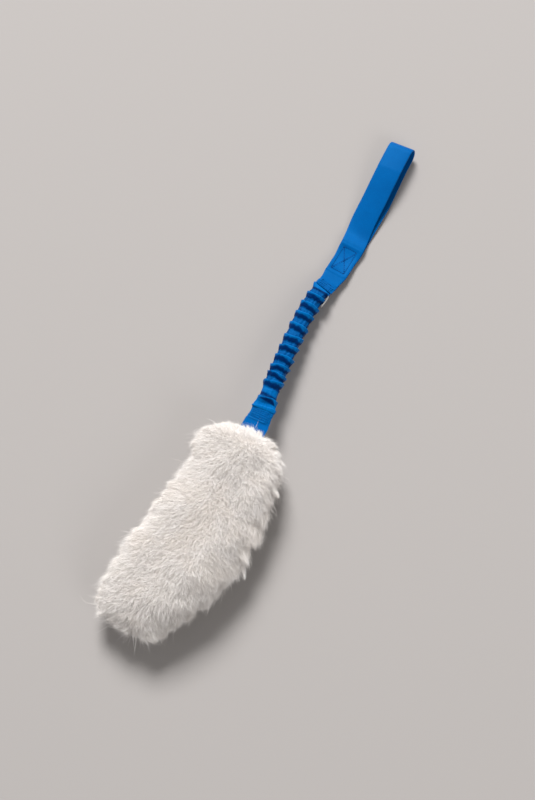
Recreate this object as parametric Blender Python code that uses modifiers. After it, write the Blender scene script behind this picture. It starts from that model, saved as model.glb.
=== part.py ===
"""Sheepskin tug toy: a fleece tube on a gathered bungee strap that ends in a webbing hand loop.

Metres, +Z up. The toy lies on its resting face: the origin is on that face, under the middle of
the fleece, and +Y runs along the toy from the fleece to the hand loop.
"""

import math

import bmesh
import bpy
from mathutils import Vector, noise

MM = 0.001

# Clearances
GAP = 0.3 * MM  # between two pieces that touch on the real toy
THREAD = 1.0 * MM  # diameter of a row of stitches

# Fleece
FLEECE_LENGTH = 240 * MM
FLEECE_WIDTH = 110 * MM  # over the wool at the widest
SHOULDER_WIDTH = 98 * MM  # over the wool just behind the mouth
FLEECE_HEIGHT = 62 * MM
TAIL_ROUND = 75 * MM  # length of the rounded tail
MOUTH_ROUND = 26 * MM  # length of the domed mouth
TAIL_DROP = 8 * MM  # how far the middle of the tail lies below the strap
FLAT_DEPTH = 4 * MM  # how far the wool is pressed flat underneath
LOCK_DEPTH = 6 * MM  # how far the hollows between the big locks of wool lie inside its outline
LOCK_SIZE = 33 * MM  # of a big lock
LOCK_FADE = 20 * MM  # locks grow shallower where the wool is less thick than this
UNDERSIDE = 8 * MM  # below this height the wool is pressed smooth
LIP_WIDTH = 36 * MM  # the wool's lips round the strap
LIP_HEIGHT = 12 * MM
FLEECE_BEND = (  # where the middle of the fleece lies, from tail to mouth: (Y, X)
    (-120 * MM, -21 * MM),
    (-85 * MM, -13.5 * MM),
    (-45 * MM, -4.5 * MM),
    (0 * MM, 1.5 * MM),
    (45 * MM, 3 * MM),
    (90 * MM, 0.5 * MM),
    (120 * MM, 1 * MM),
)

# Hide, folded to a flat tube inside the wool
HIDE_WALL = 1.5 * MM
HIDE_WIDTH = 60 * MM
HIDE_HEIGHT = 11 * MM
HIDE_SETBACK = 14 * MM  # from the front of the wool to the hide's mouth
HIDE_TAIL_SETBACK = 22 * MM  # from the tail of the wool to the hide's tail
HIDE_PINCH = 22 * MM  # length over which each sewn end closes
SEAM_PITCH = 10 * MM
SEAM_INSET = 5 * MM  # from an end of the hide to its row of stitches

# Strap
STRAP_WIDTH = 25 * MM
STRAP_THICKNESS = 1.6 * MM
MOUTH_HEIGHT = 31 * MM  # of the strap over the floor where it leaves the wool
MOUTH_STEP = 2.2 * MM  # from the front of the wool to the fold line
NECK_STRAIGHT = 0.5 * MM  # the neck's straight edge, before its round end

# Bungee
BUNGEE_LENGTH = 148 * MM  # sleeve with its sewn ends, along Y
SLEEVE_WALL = 1.2 * MM
SEWN_END = 9 * MM  # length of the sleeve's flat ends
SEWN_HEIGHT = 6.0 * MM
LOWER_END_WIDTH = 23 * MM
UPPER_END_WIDTH = 20 * MM
CREST_DIAMETER = 19.6 * MM
VALLEY_DIAMETER = 16.2 * MM
GATHERS = 13
CORE_DIAMETER = 9 * MM
CORE_SETBACK = 1.5 * MM  # from each end of the sleeve to the core's end

# Hand loop
HANDLE_LENGTH = 167.5 * MM  # from its fold line to the end of the loop
HANDLE_START_WIDTH = 19.5 * MM
JOIN_WIDTH = 23 * MM  # where the stitches draw the handle in
CORNER_START = 3 * MM  # the cut corner, from the fold line
CORNER_END = 16 * MM
LANDING = 48 * MM  # from the fold line to where the handle meets the floor
START_HEIGHT = 6.5 * MM  # of the lower layer over the floor at the fold line
LOOP_HEIGHT = 15.5 * MM  # between the two layers near the bend
LOOP_OPENS = 46 * MM  # from the fold line
LOOP_OPEN_RUN = 50 * MM  # over which the layers part
LOOP_SKEW = 4 * MM  # how much further the bend's right end lies than its left end
ROLL = math.radians(12)  # the loop leans over: its right edge is up
BOX_LENGTH = 26.5 * MM
BOX_WIDTH = 14.5 * MM
BOX_START = 18 * MM  # from the fold line
BOX_SHIFT = -0.5 * MM  # off the middle of the strap

# Stitches and label
TACK_ROWS = 4
TACK_PITCH = 2.2 * MM
TACK_SETBACK = 1.5 * MM  # from the sleeve's end to the first row
TACK_MARGIN = 3 * MM  # from the sleeve's edge to a row's end
LABEL_LENGTH = 15 * MM
LABEL_SETBACK = 7.5 * MM  # from the sleeve's end
LABEL_HEIGHT = 7 * MM
LABEL_THICKNESS = 1.0 * MM
LABEL_FOLD_GAP = 0.4 * MM

# Derived stations along Y
MOUTH_Y = FLEECE_LENGTH / 2
FOLD_Y = MOUTH_Y + MOUTH_STEP
NECK_Y = FOLD_Y + GAP / 2
SWING_Y = NECK_Y + NECK_STRAIGHT
SLEEVE_START = SWING_Y + STRAP_WIDTH / 2 + GAP
SLEEVE_END = SLEEVE_START + BUNGEE_LENGTH
HANDLE_FOLD_Y = SLEEVE_END + GAP / 2
HANDLE_START = HANDLE_FOLD_Y + GAP / 2
HANDLE_END = HANDLE_FOLD_Y + HANDLE_LENGTH
HIDE_MOUTH_Y = MOUTH_Y - HIDE_SETBACK
HIDE_TAIL_Y = -FLEECE_LENGTH / 2 + HIDE_TAIL_SETBACK
ANCHOR_TAIL_Y = HIDE_TAIL_Y + HIDE_WALL + SEAM_INSET / 2

STRAP_ROUTE = (  # the middle of the strap from the mouth to the hand loop: share of the way, X, Z
    (0.00, -3.2 * MM, MOUTH_HEIGHT),
    (0.10, -4.8 * MM, 29.2 * MM),
    (0.27, -9.8 * MM, 25.2 * MM),
    (0.46, -13.5 * MM, 20.7 * MM),
    (0.64, -16.8 * MM, 16.4 * MM),
    (0.79, -18.3 * MM, 12.9 * MM),
    (0.92, -17.6 * MM, 9.9 * MM),
    (1.00, -15.4 * MM, 7.9 * MM),
)
HANDLE_BEND = (  # the middle of the handle's face: distance from the fold line, X
    (0 * MM, -14.4 * MM),
    (8 * MM, -13.6 * MM),
    (18 * MM, -12.6 * MM),
    (40 * MM, -12.1 * MM),
    (60 * MM, -12.1 * MM),
    (85 * MM, -11.5 * MM),
    (100 * MM, -11.4 * MM),
    (125 * MM, -13.3 * MM),
    (145 * MM, -14.8 * MM),
    (167.5 * MM, -15.6 * MM),
)

SIDES = 20  # round a loft
FLEECE_SIDES = 36


def smooth(t):
    """0 before 0, 1 after 1, and an S between."""
    t = min(max(t, 0.0), 1.0)
    return t * t * (3 - 2 * t)


def through(stations, at):
    """A smooth value through stations of (position, value), at one position."""
    last = len(stations) - 1
    k = 0
    while k < last - 1 and at > stations[k + 1][0]:
        k += 1
    (p1, v1), (p2, v2) = stations[k], stations[k + 1]
    p0, v0 = stations[max(k - 1, 0)]
    p3, v3 = stations[min(k + 2, last)]
    m1 = (v2 - v0) / (p2 - p0)
    m2 = (v3 - v1) / (p3 - p1)
    span = p2 - p1
    t = min(max((at - p1) / span, 0.0), 1.0)
    a = (2 * t**3 - 3 * t**2 + 1) * v1 + (-2 * t**3 + 3 * t**2) * v2
    return a + (t**3 - 2 * t**2 + t) * span * m1 + (t**3 - t**2) * span * m2


def fleece_x(y):
    """The middle of the fleece at Y, with its bend spread over its length."""
    return through(FLEECE_BEND, y * FLEECE_BEND[-1][0] / MOUTH_Y)


def inner_x(y):
    """The middle of the hide: that of the fleece, and the strap's own at the mouth."""
    return fleece_x(y) + (STRAP_ROUTE[0][1] - fleece_x(MOUTH_Y)) * smooth((y - MOUTH_Y / 2) / (MOUTH_Y / 2))


def strap_middle(y):
    """The middle of the neck and the bungee at Y."""
    share = (y - FOLD_Y) / (HANDLE_FOLD_Y - FOLD_Y)
    x = through([(s, x) for s, x, z in STRAP_ROUTE], share)
    z = through([(s, z) for s, x, z in STRAP_ROUTE], share)
    return Vector((x, y, z))


def strap_frame(y):
    """Middle, sideways direction and upward direction of the strap at Y, for upright sections."""
    step = 0.5 * MM
    along = strap_middle(min(y + step, HANDLE_FOLD_Y)) - strap_middle(max(y - step, FOLD_Y))
    up = Vector((0, 0, 1))
    return strap_middle(y), along.cross(up).normalized(), up


def section(middle, side, up, half_width, half_height, sides=SIDES, power=2.0):
    """One ring of a loft: an ellipse, or a squarer form with a higher power."""
    ring = []
    for k in range(sides):
        angle = 2 * math.pi * k / sides
        c, s = math.cos(angle), math.sin(angle)
        across = math.copysign(abs(c) ** (2 / power), c) * half_width
        height = math.copysign(abs(s) ** (2 / power), s) * half_height
        ring.append(middle + side * across + up * height)
    return ring


def material(name, colour, roughness, metallic=0.0):
    made = bpy.data.materials.new(name)
    made.use_nodes = True
    shader = made.node_tree.nodes["Principled BSDF"]
    shader.inputs["Base Color"].default_value = (*colour, 1.0)
    shader.inputs["Roughness"].default_value = roughness
    shader.inputs["Metallic"].default_value = metallic
    return made


def finish(name, data, look, parent=None):
    """A named object in the toy's collection, kept in place under its joint's empty."""
    made = bpy.data.objects.new(name, data)
    bpy.data.collections["Sheepskin Tug Toy"].objects.link(made)
    data.materials.append(look)
    if parent:
        made.parent = parent
        made.matrix_parent_inverse = parent.matrix_world.inverted()
    return made


def loft(name, rings, look, parent=None, cap_start=True, cap_end=True):
    """A skin through rings of as many points each, closed at the ends that are asked for."""
    form = bmesh.new()
    rows = [[form.verts.new(point) for point in ring] for ring in rings]
    sides = len(rows[0])
    for low, high in zip(rows, rows[1:]):
        for k in range(sides):
            n = (k + 1) % sides
            form.faces.new((low[k], low[n], high[n], high[k]))
    if cap_start:
        form.faces.new(list(reversed(rows[0])))
    if cap_end:
        form.faces.new(rows[-1])
    bmesh.ops.recalc_face_normals(form, faces=form.faces)
    mesh = bpy.data.meshes.new(name)
    form.to_mesh(mesh)
    form.free()
    mesh.shade_smooth()
    mesh.set_sharp_from_angle(angle=math.radians(50))
    return finish(name, mesh, look, parent)


def thicken(item, wall, offset):
    shell = item.modifiers.new("Thickness", "SOLIDIFY")
    shell.thickness = wall
    shell.offset = offset
    shell.use_even_offset = True
    shell.use_rim = True
    return item


def band(name, place, lengthwise, crosswise, look, parent=None):
    """A strip of webbing: a grid laid out by place(share of length, share of width)."""
    form = bmesh.new()
    bmesh.ops.create_grid(form, x_segments=lengthwise, y_segments=crosswise, size=0.5)
    for vert in form.verts:
        vert.co = place(vert.co.x + 0.5, vert.co.y + 0.5)
    mesh = bpy.data.meshes.new(name)
    form.to_mesh(mesh)
    form.free()
    mesh.shade_smooth()
    mesh.set_sharp_from_angle(angle=math.radians(50))
    return thicken(finish(name, mesh, look, parent), STRAP_THICKNESS, 0.0)


def thread(name, points, look, parent=None):
    """A row of stitches: a thin round line through points, with closed ends."""
    line = bpy.data.curves.new(name, "CURVE")
    line.dimensions = "3D"
    line.bevel_depth = THREAD / 2
    line.bevel_resolution = 1
    line.use_fill_caps = True
    run = line.splines.new("POLY")
    run.points.add(len(points) - 1)
    for slot, point in zip(run.points, points):
        slot.co = (*point, 1.0)
    return finish(name, line, look, parent)


def pivot(name, place):
    """An empty on a joint's axis, which carries the pieces that move there."""
    made = bpy.data.objects.new(name, None)
    made.empty_display_size = 20 * MM
    made.location = place
    bpy.data.collections["Sheepskin Tug Toy"].objects.link(made)
    bpy.context.view_layer.update()
    return made


def fleece_half_width(y):
    """Half the width over the wool: full in the middle, narrower at the mouth, round at the ends."""
    full = FLEECE_WIDTH / 2
    waist = full - (full - SHOULDER_WIDTH / 2) * smooth((y - 0.1 * FLEECE_LENGTH) / (0.2 * FLEECE_LENGTH))
    from_tail = min((y + FLEECE_LENGTH / 2) / TAIL_ROUND, 1.0)
    from_mouth = min((MOUTH_Y - y) / MOUTH_ROUND, 1.0)
    tail = (1 - (1 - from_tail) ** 2) ** 0.5
    mouth = (1 - (1 - from_mouth) ** 2) ** 0.5
    return waist * tail * mouth


def fleece_half_height(y):
    from_tail = min((y + FLEECE_LENGTH / 2) / TAIL_ROUND, 1.0)
    from_mouth = min((MOUTH_Y - y) / MOUTH_ROUND, 1.0)
    round_tail = (1 - (1 - from_tail) ** 2) ** 0.5
    round_mouth = (1 - (1 - from_mouth) ** 2) ** 0.5
    return FLEECE_HEIGHT / 2 * round_tail * round_mouth


def lock_hollow(angle, y):
    """How far the outline is drawn in between the big locks, as a share, round the fleece and along it."""
    place = Vector((1.5 * math.cos(angle), math.sin(angle), y / LOCK_SIZE))
    return min(max(0.5 - 0.9 * noise.noise(place), 0.0), 1.0)


def fleece_ring(y):
    """The outer section of the wool, with its big locks, pressed flat where it lies on the floor."""
    lip_width = LIP_WIDTH if y > 0 else LIP_HEIGHT
    half_width = max(fleece_half_width(y), lip_width / 2)
    half_height = max(fleece_half_height(y), LIP_HEIGHT / 2)
    near_tail = 1 - smooth((y + FLEECE_LENGTH / 2) / TAIL_ROUND)
    near_mouth = smooth((y - (MOUTH_Y - MOUTH_ROUND)) / MOUTH_ROUND)
    x = fleece_x(y) + (inner_x(y) - fleece_x(y)) * near_mouth
    middle = Vector((x, y, FLEECE_HEIGHT / 2 - TAIL_DROP * near_tail))
    ring = section(middle, Vector((1, 0, 0)), Vector((0, 0, 1)), half_width, half_height, FLEECE_SIDES, 2.4)
    full = min(half_width, half_height) / LOCK_FADE
    for k, point in enumerate(ring):
        if point.z < middle.z:
            point.z = max(middle.z + (point.z - middle.z) * (1 + FLAT_DEPTH / half_height), 0.0)
        hollow = lock_hollow(2 * math.pi * k / FLEECE_SIDES, y) * smooth(full) * smooth(point.z / UNDERSIDE - 0.25)
        point += (middle - point).normalized() * LOCK_DEPTH * hollow
    return ring


def inner_ring(y, half_width, half_height):
    """A section inside the fleece, round the hide's own middle."""
    middle = Vector((inner_x(y), y, MOUTH_HEIGHT))
    return section(middle, Vector((1, 0, 0)), Vector((0, 0, 1)), half_width, half_height, FLEECE_SIDES, 4.0)


def make_wool_pile(look):
    """The wool: a round outer form over a hollow that holds the hide, open at the mouth."""
    tail = -FLEECE_LENGTH / 2
    stations = [tail + TAIL_ROUND * s for s in (0.012, 0.05, 0.12, 0.22, 0.33, 0.45, 0.58, 0.72, 0.86)]
    run = MOUTH_Y - MOUTH_ROUND - (tail + TAIL_ROUND)
    stations += [tail + TAIL_ROUND + run * k / 13 for k in range(14)]
    stations += [MOUTH_Y - MOUTH_ROUND * s for s in (0.75, 0.5, 0.28, 0.12, 0.0)]
    rings = [fleece_ring(y) for y in stations]
    slot = (STRAP_WIDTH / 2 + 2 * GAP, STRAP_THICKNESS / 2 + 2 * GAP)
    hollow = (HIDE_WIDTH / 2 + THREAD + 3 * GAP, HIDE_HEIGHT / 2 + GAP)
    front, back = HIDE_MOUTH_Y + GAP, HIDE_TAIL_Y - GAP
    rings += [inner_ring(MOUTH_Y, *slot), inner_ring(front, *slot)]
    rings += [inner_ring(front + (back - front) * k / 8, *hollow) for k in range(9)]
    return loft("wool_pile", rings, look)


def hide_half_height(y):
    """Half the height of the hide's tube, which is sewn flat at both ends."""
    pinched = STRAP_THICKNESS / 2 + GAP + HIDE_WALL
    from_mouth = smooth((HIDE_MOUTH_Y - SEAM_INSET * 2 - y) / HIDE_PINCH)
    from_tail = smooth((y - HIDE_TAIL_Y - SEAM_INSET * 2) / HIDE_PINCH)
    return pinched + (HIDE_HEIGHT / 2 - pinched) * min(from_mouth, from_tail)


def make_hide(look):
    """The hide: an open tube with a thin wall, closed at its tail."""
    count = 22
    run = HIDE_MOUTH_Y - HIDE_TAIL_Y
    rings = []
    for k in range(count + 1):
        y = HIDE_TAIL_Y + run * k / count
        rings.append(inner_ring(y, HIDE_WIDTH / 2, hide_half_height(y)))
    return thicken(loft("sheepskin_hide", rings, look, cap_end=False), HIDE_WALL, -1.0)


def make_anchor_strap(look):
    """The strap inside the fleece, from the tail seam to the fold line at the mouth."""
    front = FOLD_Y - GAP / 2

    def place(along, across):
        y = ANCHOR_TAIL_Y + (front - ANCHOR_TAIL_Y) * along
        return Vector((inner_x(y) + STRAP_WIDTH * (across - 0.5), y, MOUTH_HEIGHT))

    return band("anchor_strap", place, 20, 1, look)


def make_hide_seams(look):
    """The whip stitch down the hide's long edge, and the rows that close its two ends."""
    half = HIDE_WIDTH / 2 + GAP + THREAD / 2
    run = HIDE_MOUTH_Y - HIDE_TAIL_Y - 2 * SEAM_INSET
    count = int(run / SEAM_PITCH)
    points = []
    for k in range(count + 1):
        y = HIDE_TAIL_Y + SEAM_INSET + run * k / count
        lift = THREAD * (1 if k % 2 else -1)
        points.append(Vector((inner_x(y) + half, y, MOUTH_HEIGHT + lift)))
    thread("side_seam_thread", points, look)
    reach = HIDE_WIDTH / 2 - 2 * SEAM_INSET
    ends = (
        ("mouth_seam_thread", HIDE_MOUTH_Y - SEAM_INSET),
        ("tail_seam_thread", HIDE_TAIL_Y + SEAM_INSET),
    )
    for name, y in ends:
        z = MOUTH_HEIGHT + hide_half_height(y) + GAP + THREAD / 2
        count = int(2 * reach / TACK_PITCH)
        row = []
        for k in range(count + 1):
            x = inner_x(y) - reach + 2 * reach * k / count
            row.append(Vector((x, y + THREAD * (1 if k % 2 else -1), z)))
        thread(name, row, look)


def make_neck_strap(look, parent):
    """The plain stretch between the fold line and the sleeve, round at the end that swings."""
    middle = strap_middle(NECK_Y)
    side = Vector((1, 0, 0))
    drop = strap_middle(SLEEVE_START) - middle
    along = Vector((0, drop.y, drop.z)).normalized()
    radius = STRAP_WIDTH / 2
    steps = 16
    outline = [middle - side * radius, middle + side * radius]
    centre = middle + along * NECK_STRAIGHT
    for k in range(steps + 1):
        angle = math.pi * k / steps
        outline.append(centre + side * radius * math.cos(angle) + along * radius * math.sin(angle))
    form = bmesh.new()
    form.faces.new([form.verts.new(point) for point in outline])
    mesh = bpy.data.meshes.new("neck_strap")
    form.to_mesh(mesh)
    form.free()
    return thicken(finish("neck_strap", mesh, look, parent), STRAP_THICKNESS, 0.0)


def sleeve_half_sizes(y):
    """Half width, half height and squareness of the sleeve: flat and wide at its sewn ends."""
    round_start, round_end = SLEEVE_START + SEWN_END, SLEEVE_END - SEWN_END
    swell = CREST_DIAMETER / 2
    opening = smooth((y - round_start) / swell) * smooth((round_end - y) / swell)
    sewn_width = LOWER_END_WIDTH if y < (SLEEVE_START + SLEEVE_END) / 2 else UPPER_END_WIDTH
    phase = (y - round_start) / (round_end - round_start) * GATHERS
    crest = 0.5 - 0.5 * math.cos(2 * math.pi * phase)
    radius = (VALLEY_DIAMETER + (CREST_DIAMETER - VALLEY_DIAMETER) * crest**0.7) / 2
    half_width = sewn_width / 2 + (radius - sewn_width / 2) * opening
    half_height = SEWN_HEIGHT / 2 + (radius - SEWN_HEIGHT / 2) * opening
    return half_width, half_height, 4.0 - 2.0 * opening


def make_bungee_sleeve(look, parent):
    """The gathered tube of webbing: four rings to a gather, and two flat ends sewn shut."""
    round_start, round_end = SLEEVE_START + SEWN_END, SLEEVE_END - SEWN_END
    pitch = (round_end - round_start) / GATHERS
    stations = [SLEEVE_START, SLEEVE_START + SEWN_END * 0.6]
    stations += [round_start + pitch * k / 4 for k in range(4 * GATHERS + 1)]
    stations += [SLEEVE_END - SEWN_END * 0.6, SLEEVE_END]
    rings = []
    for y in stations:
        middle, side, up = strap_frame(y)
        half_width, half_height, power = sleeve_half_sizes(y)
        rings.append(section(middle, side, up, half_width, half_height, SIDES, power))
    sleeve = loft("bungee_sleeve", rings, look, parent, cap_start=False, cap_end=False)
    return thicken(sleeve, SLEEVE_WALL, -1.0)


def make_elastic_core(look, parent):
    """The rubber core: round under the gathers, pressed flat where it is sewn in."""
    start, end = SLEEVE_START + CORE_SETBACK, SLEEVE_END - CORE_SETBACK
    flat_height = SEWN_HEIGHT / 2 - SLEEVE_WALL - GAP
    count = 48
    rings = []
    for k in range(count + 1):
        y = start + (end - start) * k / count
        middle, side, up = strap_frame(y)
        opening = smooth((y - SLEEVE_START - SEWN_END - CORE_SETBACK) / CORE_DIAMETER)
        opening *= smooth((SLEEVE_END - SEWN_END - CORE_SETBACK - y) / CORE_DIAMETER)
        sewn_width = LOWER_END_WIDTH if 2 * k < count else UPPER_END_WIDTH
        flat_width = sewn_width / 2 - SLEEVE_WALL - 3 * GAP
        radius = CORE_DIAMETER / 2
        half_width = flat_width + (radius - flat_width) * opening
        half_height = flat_height + (radius - flat_height) * opening
        rings.append(section(middle, side, up, half_width, half_height, 12, 4.0 - 2.0 * opening))
    return loft("elastic_core", rings, look, parent)


def make_bar_tack(name, first_y, step, sewn_width, look, parent):
    """Rows of thread to and fro across a flat sewn end, as one line."""
    half = sewn_width / 2 - TACK_MARGIN
    points = []
    for row in range(TACK_ROWS):
        y = first_y + step * row
        middle, side, up = strap_frame(y)
        lift = up * (SEWN_HEIGHT / 2 + GAP + THREAD / 2)
        turn = 1 if row % 2 else -1
        points += [middle + lift + side * half * turn, middle + lift - side * half * turn]
    return thread(name, points, look, parent)


def make_label(look, parent):
    """A bare folded tab: two plies joined at the fold, along the right edge of the sewn end."""
    middle, side, up = strap_frame(SLEEVE_END - LABEL_SETBACK - LABEL_LENGTH / 2)
    along = up.cross(side)
    near = middle + side * (CREST_DIAMETER / 2 + 2 * GAP)
    fold = LABEL_HEIGHT / 2
    outline = [(-LABEL_THICKNESS, fold), (0, fold), (0, -fold), (LABEL_FOLD_GAP, -fold), (LABEL_FOLD_GAP, fold)]
    outline += [(LABEL_FOLD_GAP + LABEL_THICKNESS, fold), (LABEL_FOLD_GAP + LABEL_THICKNESS, -fold - LABEL_THICKNESS)]
    outline += [(-LABEL_THICKNESS, -fold - LABEL_THICKNESS)]
    rings = []
    for end_of_tab in (-LABEL_LENGTH / 2, LABEL_LENGTH / 2):
        rings.append([near + along * end_of_tab + side * (LABEL_THICKNESS + a) + up * b for a, b in outline])
    return loft("blank_label", rings, look, parent)


def layer_height(y):
    """The lower layer's middle over the floor: it comes down from the bungee and then lies."""
    slope = (START_HEIGHT - STRAP_THICKNESS / 2) / LANDING
    return STRAP_THICKNESS / 2 + slope * max(HANDLE_FOLD_Y + LANDING - y, 0.0)


def layer_spread(y):
    """Between the middles of the two layers: sewn together first, and open further on."""
    sewn = STRAP_THICKNESS + GAP
    opened = smooth((y - HANDLE_FOLD_Y - LOOP_OPENS) / LOOP_OPEN_RUN)
    return sewn + (LOOP_HEIGHT - sewn) * opened


def handle_point(y, height, across):
    """A point of the hand loop, from its height over the floor and its share of the width."""
    from_fold = y - HANDLE_FOLD_Y
    opened = smooth((from_fold - LOOP_OPENS) / LOOP_OPEN_RUN)
    roll = ROLL * opened
    corner = smooth((from_fold - CORNER_START) / (CORNER_END - CORNER_START))
    spread = smooth((from_fold - BOX_START - BOX_LENGTH / 2) / (BOX_LENGTH / 2))
    width = HANDLE_START_WIDTH + (JOIN_WIDTH - HANDLE_START_WIDTH) * corner + (STRAP_WIDTH - JOIN_WIDTH) * spread
    reach = HANDLE_BEND[-1][0] / HANDLE_LENGTH
    left = through(HANDLE_BEND, from_fold * reach) - width / 2
    out = width * across
    x = left + out * math.cos(roll) - height * math.sin(roll)
    middle, side, up = strap_frame(HANDLE_FOLD_Y)
    skew = side.y / side.x * (1 - corner) * (x - middle.x) + LOOP_SKEW * opened * (across - 0.5)
    return Vector((x, y + skew, out * math.sin(roll) + height * math.cos(roll)))


def loop_path():
    """Y and height along the loop: out along the top, round the bend, back along the floor."""
    radius = LOOP_HEIGHT / 2
    turn = HANDLE_END - LOOP_SKEW / 2 - radius - STRAP_THICKNESS / 2
    run = 26
    out = [HANDLE_START + (turn - HANDLE_START) * k / run for k in range(run)]
    top = [(y, layer_height(y) + layer_spread(y)) for y in out]
    bend = []
    for k in range(13):
        angle = math.pi / 2 - math.pi * k / 12
        bend.append((turn + radius * math.cos(angle), STRAP_THICKNESS / 2 + radius + radius * math.sin(angle)))
    floor = [(y, layer_height(y)) for y in reversed(out)]
    return top + bend + floor


def make_handle_strap(look, parent):
    """The hand loop: one strip of webbing folded back on itself."""
    path = loop_path()
    last = len(path) - 1

    def place(along, across):
        y, height = path[round(along * last)]
        return handle_point(y, height, across)

    return band("handle_strap", place, last, 4, look, parent)


def make_box_stitch(look, parent):
    """The sewn rectangle with a cross, as one flat outline with four windows."""
    half_w, half_l, line = BOX_WIDTH / 2, BOX_LENGTH / 2, THREAD / 2
    flat = bpy.data.curves.new("box_stitch", "CURVE")
    flat.dimensions = "2D"
    flat.fill_mode = "BOTH"
    flat.extrude = THREAD / 2
    diagonal = math.hypot(half_w, half_l)
    near_w = line * diagonal / half_l  # half the cross's width, measured across the strap
    near_l = line * diagonal / half_w  # and along it
    in_w, in_l = half_w - line, half_l - line
    frame = [(-half_w - line, -half_l - line), (half_w + line, -half_l - line)]
    frame += [(half_w + line, half_l + line), (-half_w - line, half_l + line)]
    slope = half_w / half_l
    outlines = [frame]
    for sign in (1, -1):
        outlines.append([(0, sign * near_l), (slope * in_l - near_w, sign * in_l), (near_w - slope * in_l, sign * in_l)])
        side_l = in_w / slope - near_l
        outlines.append([(sign * near_w, 0), (sign * in_w, side_l), (sign * in_w, -side_l)])
    for outline in outlines:
        run = flat.splines.new("POLY")
        run.use_cyclic_u = True
        run.points.add(len(outline) - 1)
        for slot, (x, y) in zip(run.points, outline):
            slot.co = (x, y, 0.0, 1.0)
    made = finish("box_stitch", flat, look, parent)
    y = HANDLE_FOLD_Y + BOX_START + half_l
    seat = layer_height(y) + layer_spread(y) + STRAP_THICKNESS / 2 + GAP + THREAD / 2
    middle = handle_point(y, seat, 0.5)
    pitch = math.atan((layer_height(y + half_l) - layer_height(y - half_l)) / BOX_LENGTH)
    made.parent = None
    made.location = middle + Vector((BOX_SHIFT, 0, 0))
    made.rotation_euler = (pitch, 0, 0)
    bpy.context.view_layer.update()
    made.parent = parent
    made.matrix_parent_inverse = parent.matrix_world.inverted()
    return made


def clear_scene():
    for item in list(bpy.data.objects):
        bpy.data.objects.remove(item, do_unlink=True)
    collection = bpy.data.collections.new("Sheepskin Tug Toy")
    bpy.context.scene.collection.children.link(collection)


def build():
    clear_scene()
    wool = material("white_wool", (0.86, 0.83, 0.79), 0.95)
    leather = material("tanned_hide", (0.72, 0.60, 0.46), 0.8)
    webbing = material("blue_webbing", (0.004, 0.115, 0.40), 0.45)
    gathered = material("blue_gathered_webbing", (0.004, 0.115, 0.40), 0.45)
    rubber = material("elastic_rubber", (0.08, 0.08, 0.085), 0.7)
    blue_thread = material("blue_thread", (0.003, 0.06, 0.26), 0.5)
    pale_thread = material("pale_thread", (0.80, 0.77, 0.72), 0.7)
    white_tape = material("white_tape", (0.85, 0.85, 0.84), 0.7)

    make_wool_pile(wool)
    make_hide(leather)
    make_anchor_strap(webbing)
    make_hide_seams(pale_thread)

    fold = pivot("mouth_fold_axis", strap_middle(FOLD_Y) + Vector((0, 0, STRAP_THICKNESS / 2)))
    make_neck_strap(webbing, fold)
    swing = pivot("bungee_swing_axis", strap_middle(SWING_Y))
    make_bungee_sleeve(gathered, swing)
    make_elastic_core(rubber, swing)
    first = SLEEVE_START + TACK_SETBACK
    make_bar_tack("lower_bar_tack", first, TACK_PITCH, LOWER_END_WIDTH, blue_thread, swing)

    stretch = pivot("bungee_stretch_axis", strap_middle(SLEEVE_END))
    first = SLEEVE_END - TACK_SETBACK
    make_bar_tack("upper_bar_tack", first, -TACK_PITCH, UPPER_END_WIDTH, blue_thread, stretch)
    make_label(white_tape, stretch)

    top = strap_middle(HANDLE_FOLD_Y) + Vector((0, 0, SEWN_HEIGHT / 2))
    handle = pivot("handle_fold_axis", top)
    make_handle_strap(webbing, handle)
    make_box_stitch(blue_thread, handle)


build()
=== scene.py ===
# %% [markdown]
# # A sheepskin tug toy
#
# A tube of sheepskin on a strap, a bungee that ends in a hand loop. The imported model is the
# frame: its bodies say where everything is and how it moves. The scene lays the soft surfaces
# over it, in metres and in the same place, so nothing has to be fitted by eye afterwards.

# %% Load the frame
import math

import bmesh
import bpy
import numpy as np
from mathutils import Matrix, Vector, noise
from mathutils.kdtree import KDTree


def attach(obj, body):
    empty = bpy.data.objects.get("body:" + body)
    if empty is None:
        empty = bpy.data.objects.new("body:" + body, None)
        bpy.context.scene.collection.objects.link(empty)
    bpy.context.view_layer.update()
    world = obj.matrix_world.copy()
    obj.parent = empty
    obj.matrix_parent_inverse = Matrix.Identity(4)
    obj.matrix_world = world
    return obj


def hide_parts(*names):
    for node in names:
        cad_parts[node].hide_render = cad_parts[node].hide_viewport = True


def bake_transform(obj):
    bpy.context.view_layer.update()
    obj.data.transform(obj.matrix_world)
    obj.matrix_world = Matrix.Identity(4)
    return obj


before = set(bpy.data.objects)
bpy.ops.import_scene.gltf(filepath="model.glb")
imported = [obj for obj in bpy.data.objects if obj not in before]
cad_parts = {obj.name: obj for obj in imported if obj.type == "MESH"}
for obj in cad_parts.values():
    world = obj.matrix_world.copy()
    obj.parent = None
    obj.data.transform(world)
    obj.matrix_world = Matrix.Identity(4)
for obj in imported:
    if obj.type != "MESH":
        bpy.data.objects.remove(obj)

MM = 0.001
UP = Vector((0, 0, 1))
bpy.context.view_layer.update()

# %% [markdown]
# ## Camera, floor and light
#
# The toy lies on a table and is seen almost from straight above, from about a metre and a half.
# The camera could be turned by hand until it looks right. Here its place comes from a fit of the
# strap's edges and the sewn box to their places in the photograph, so that it is only typed in.

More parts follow.
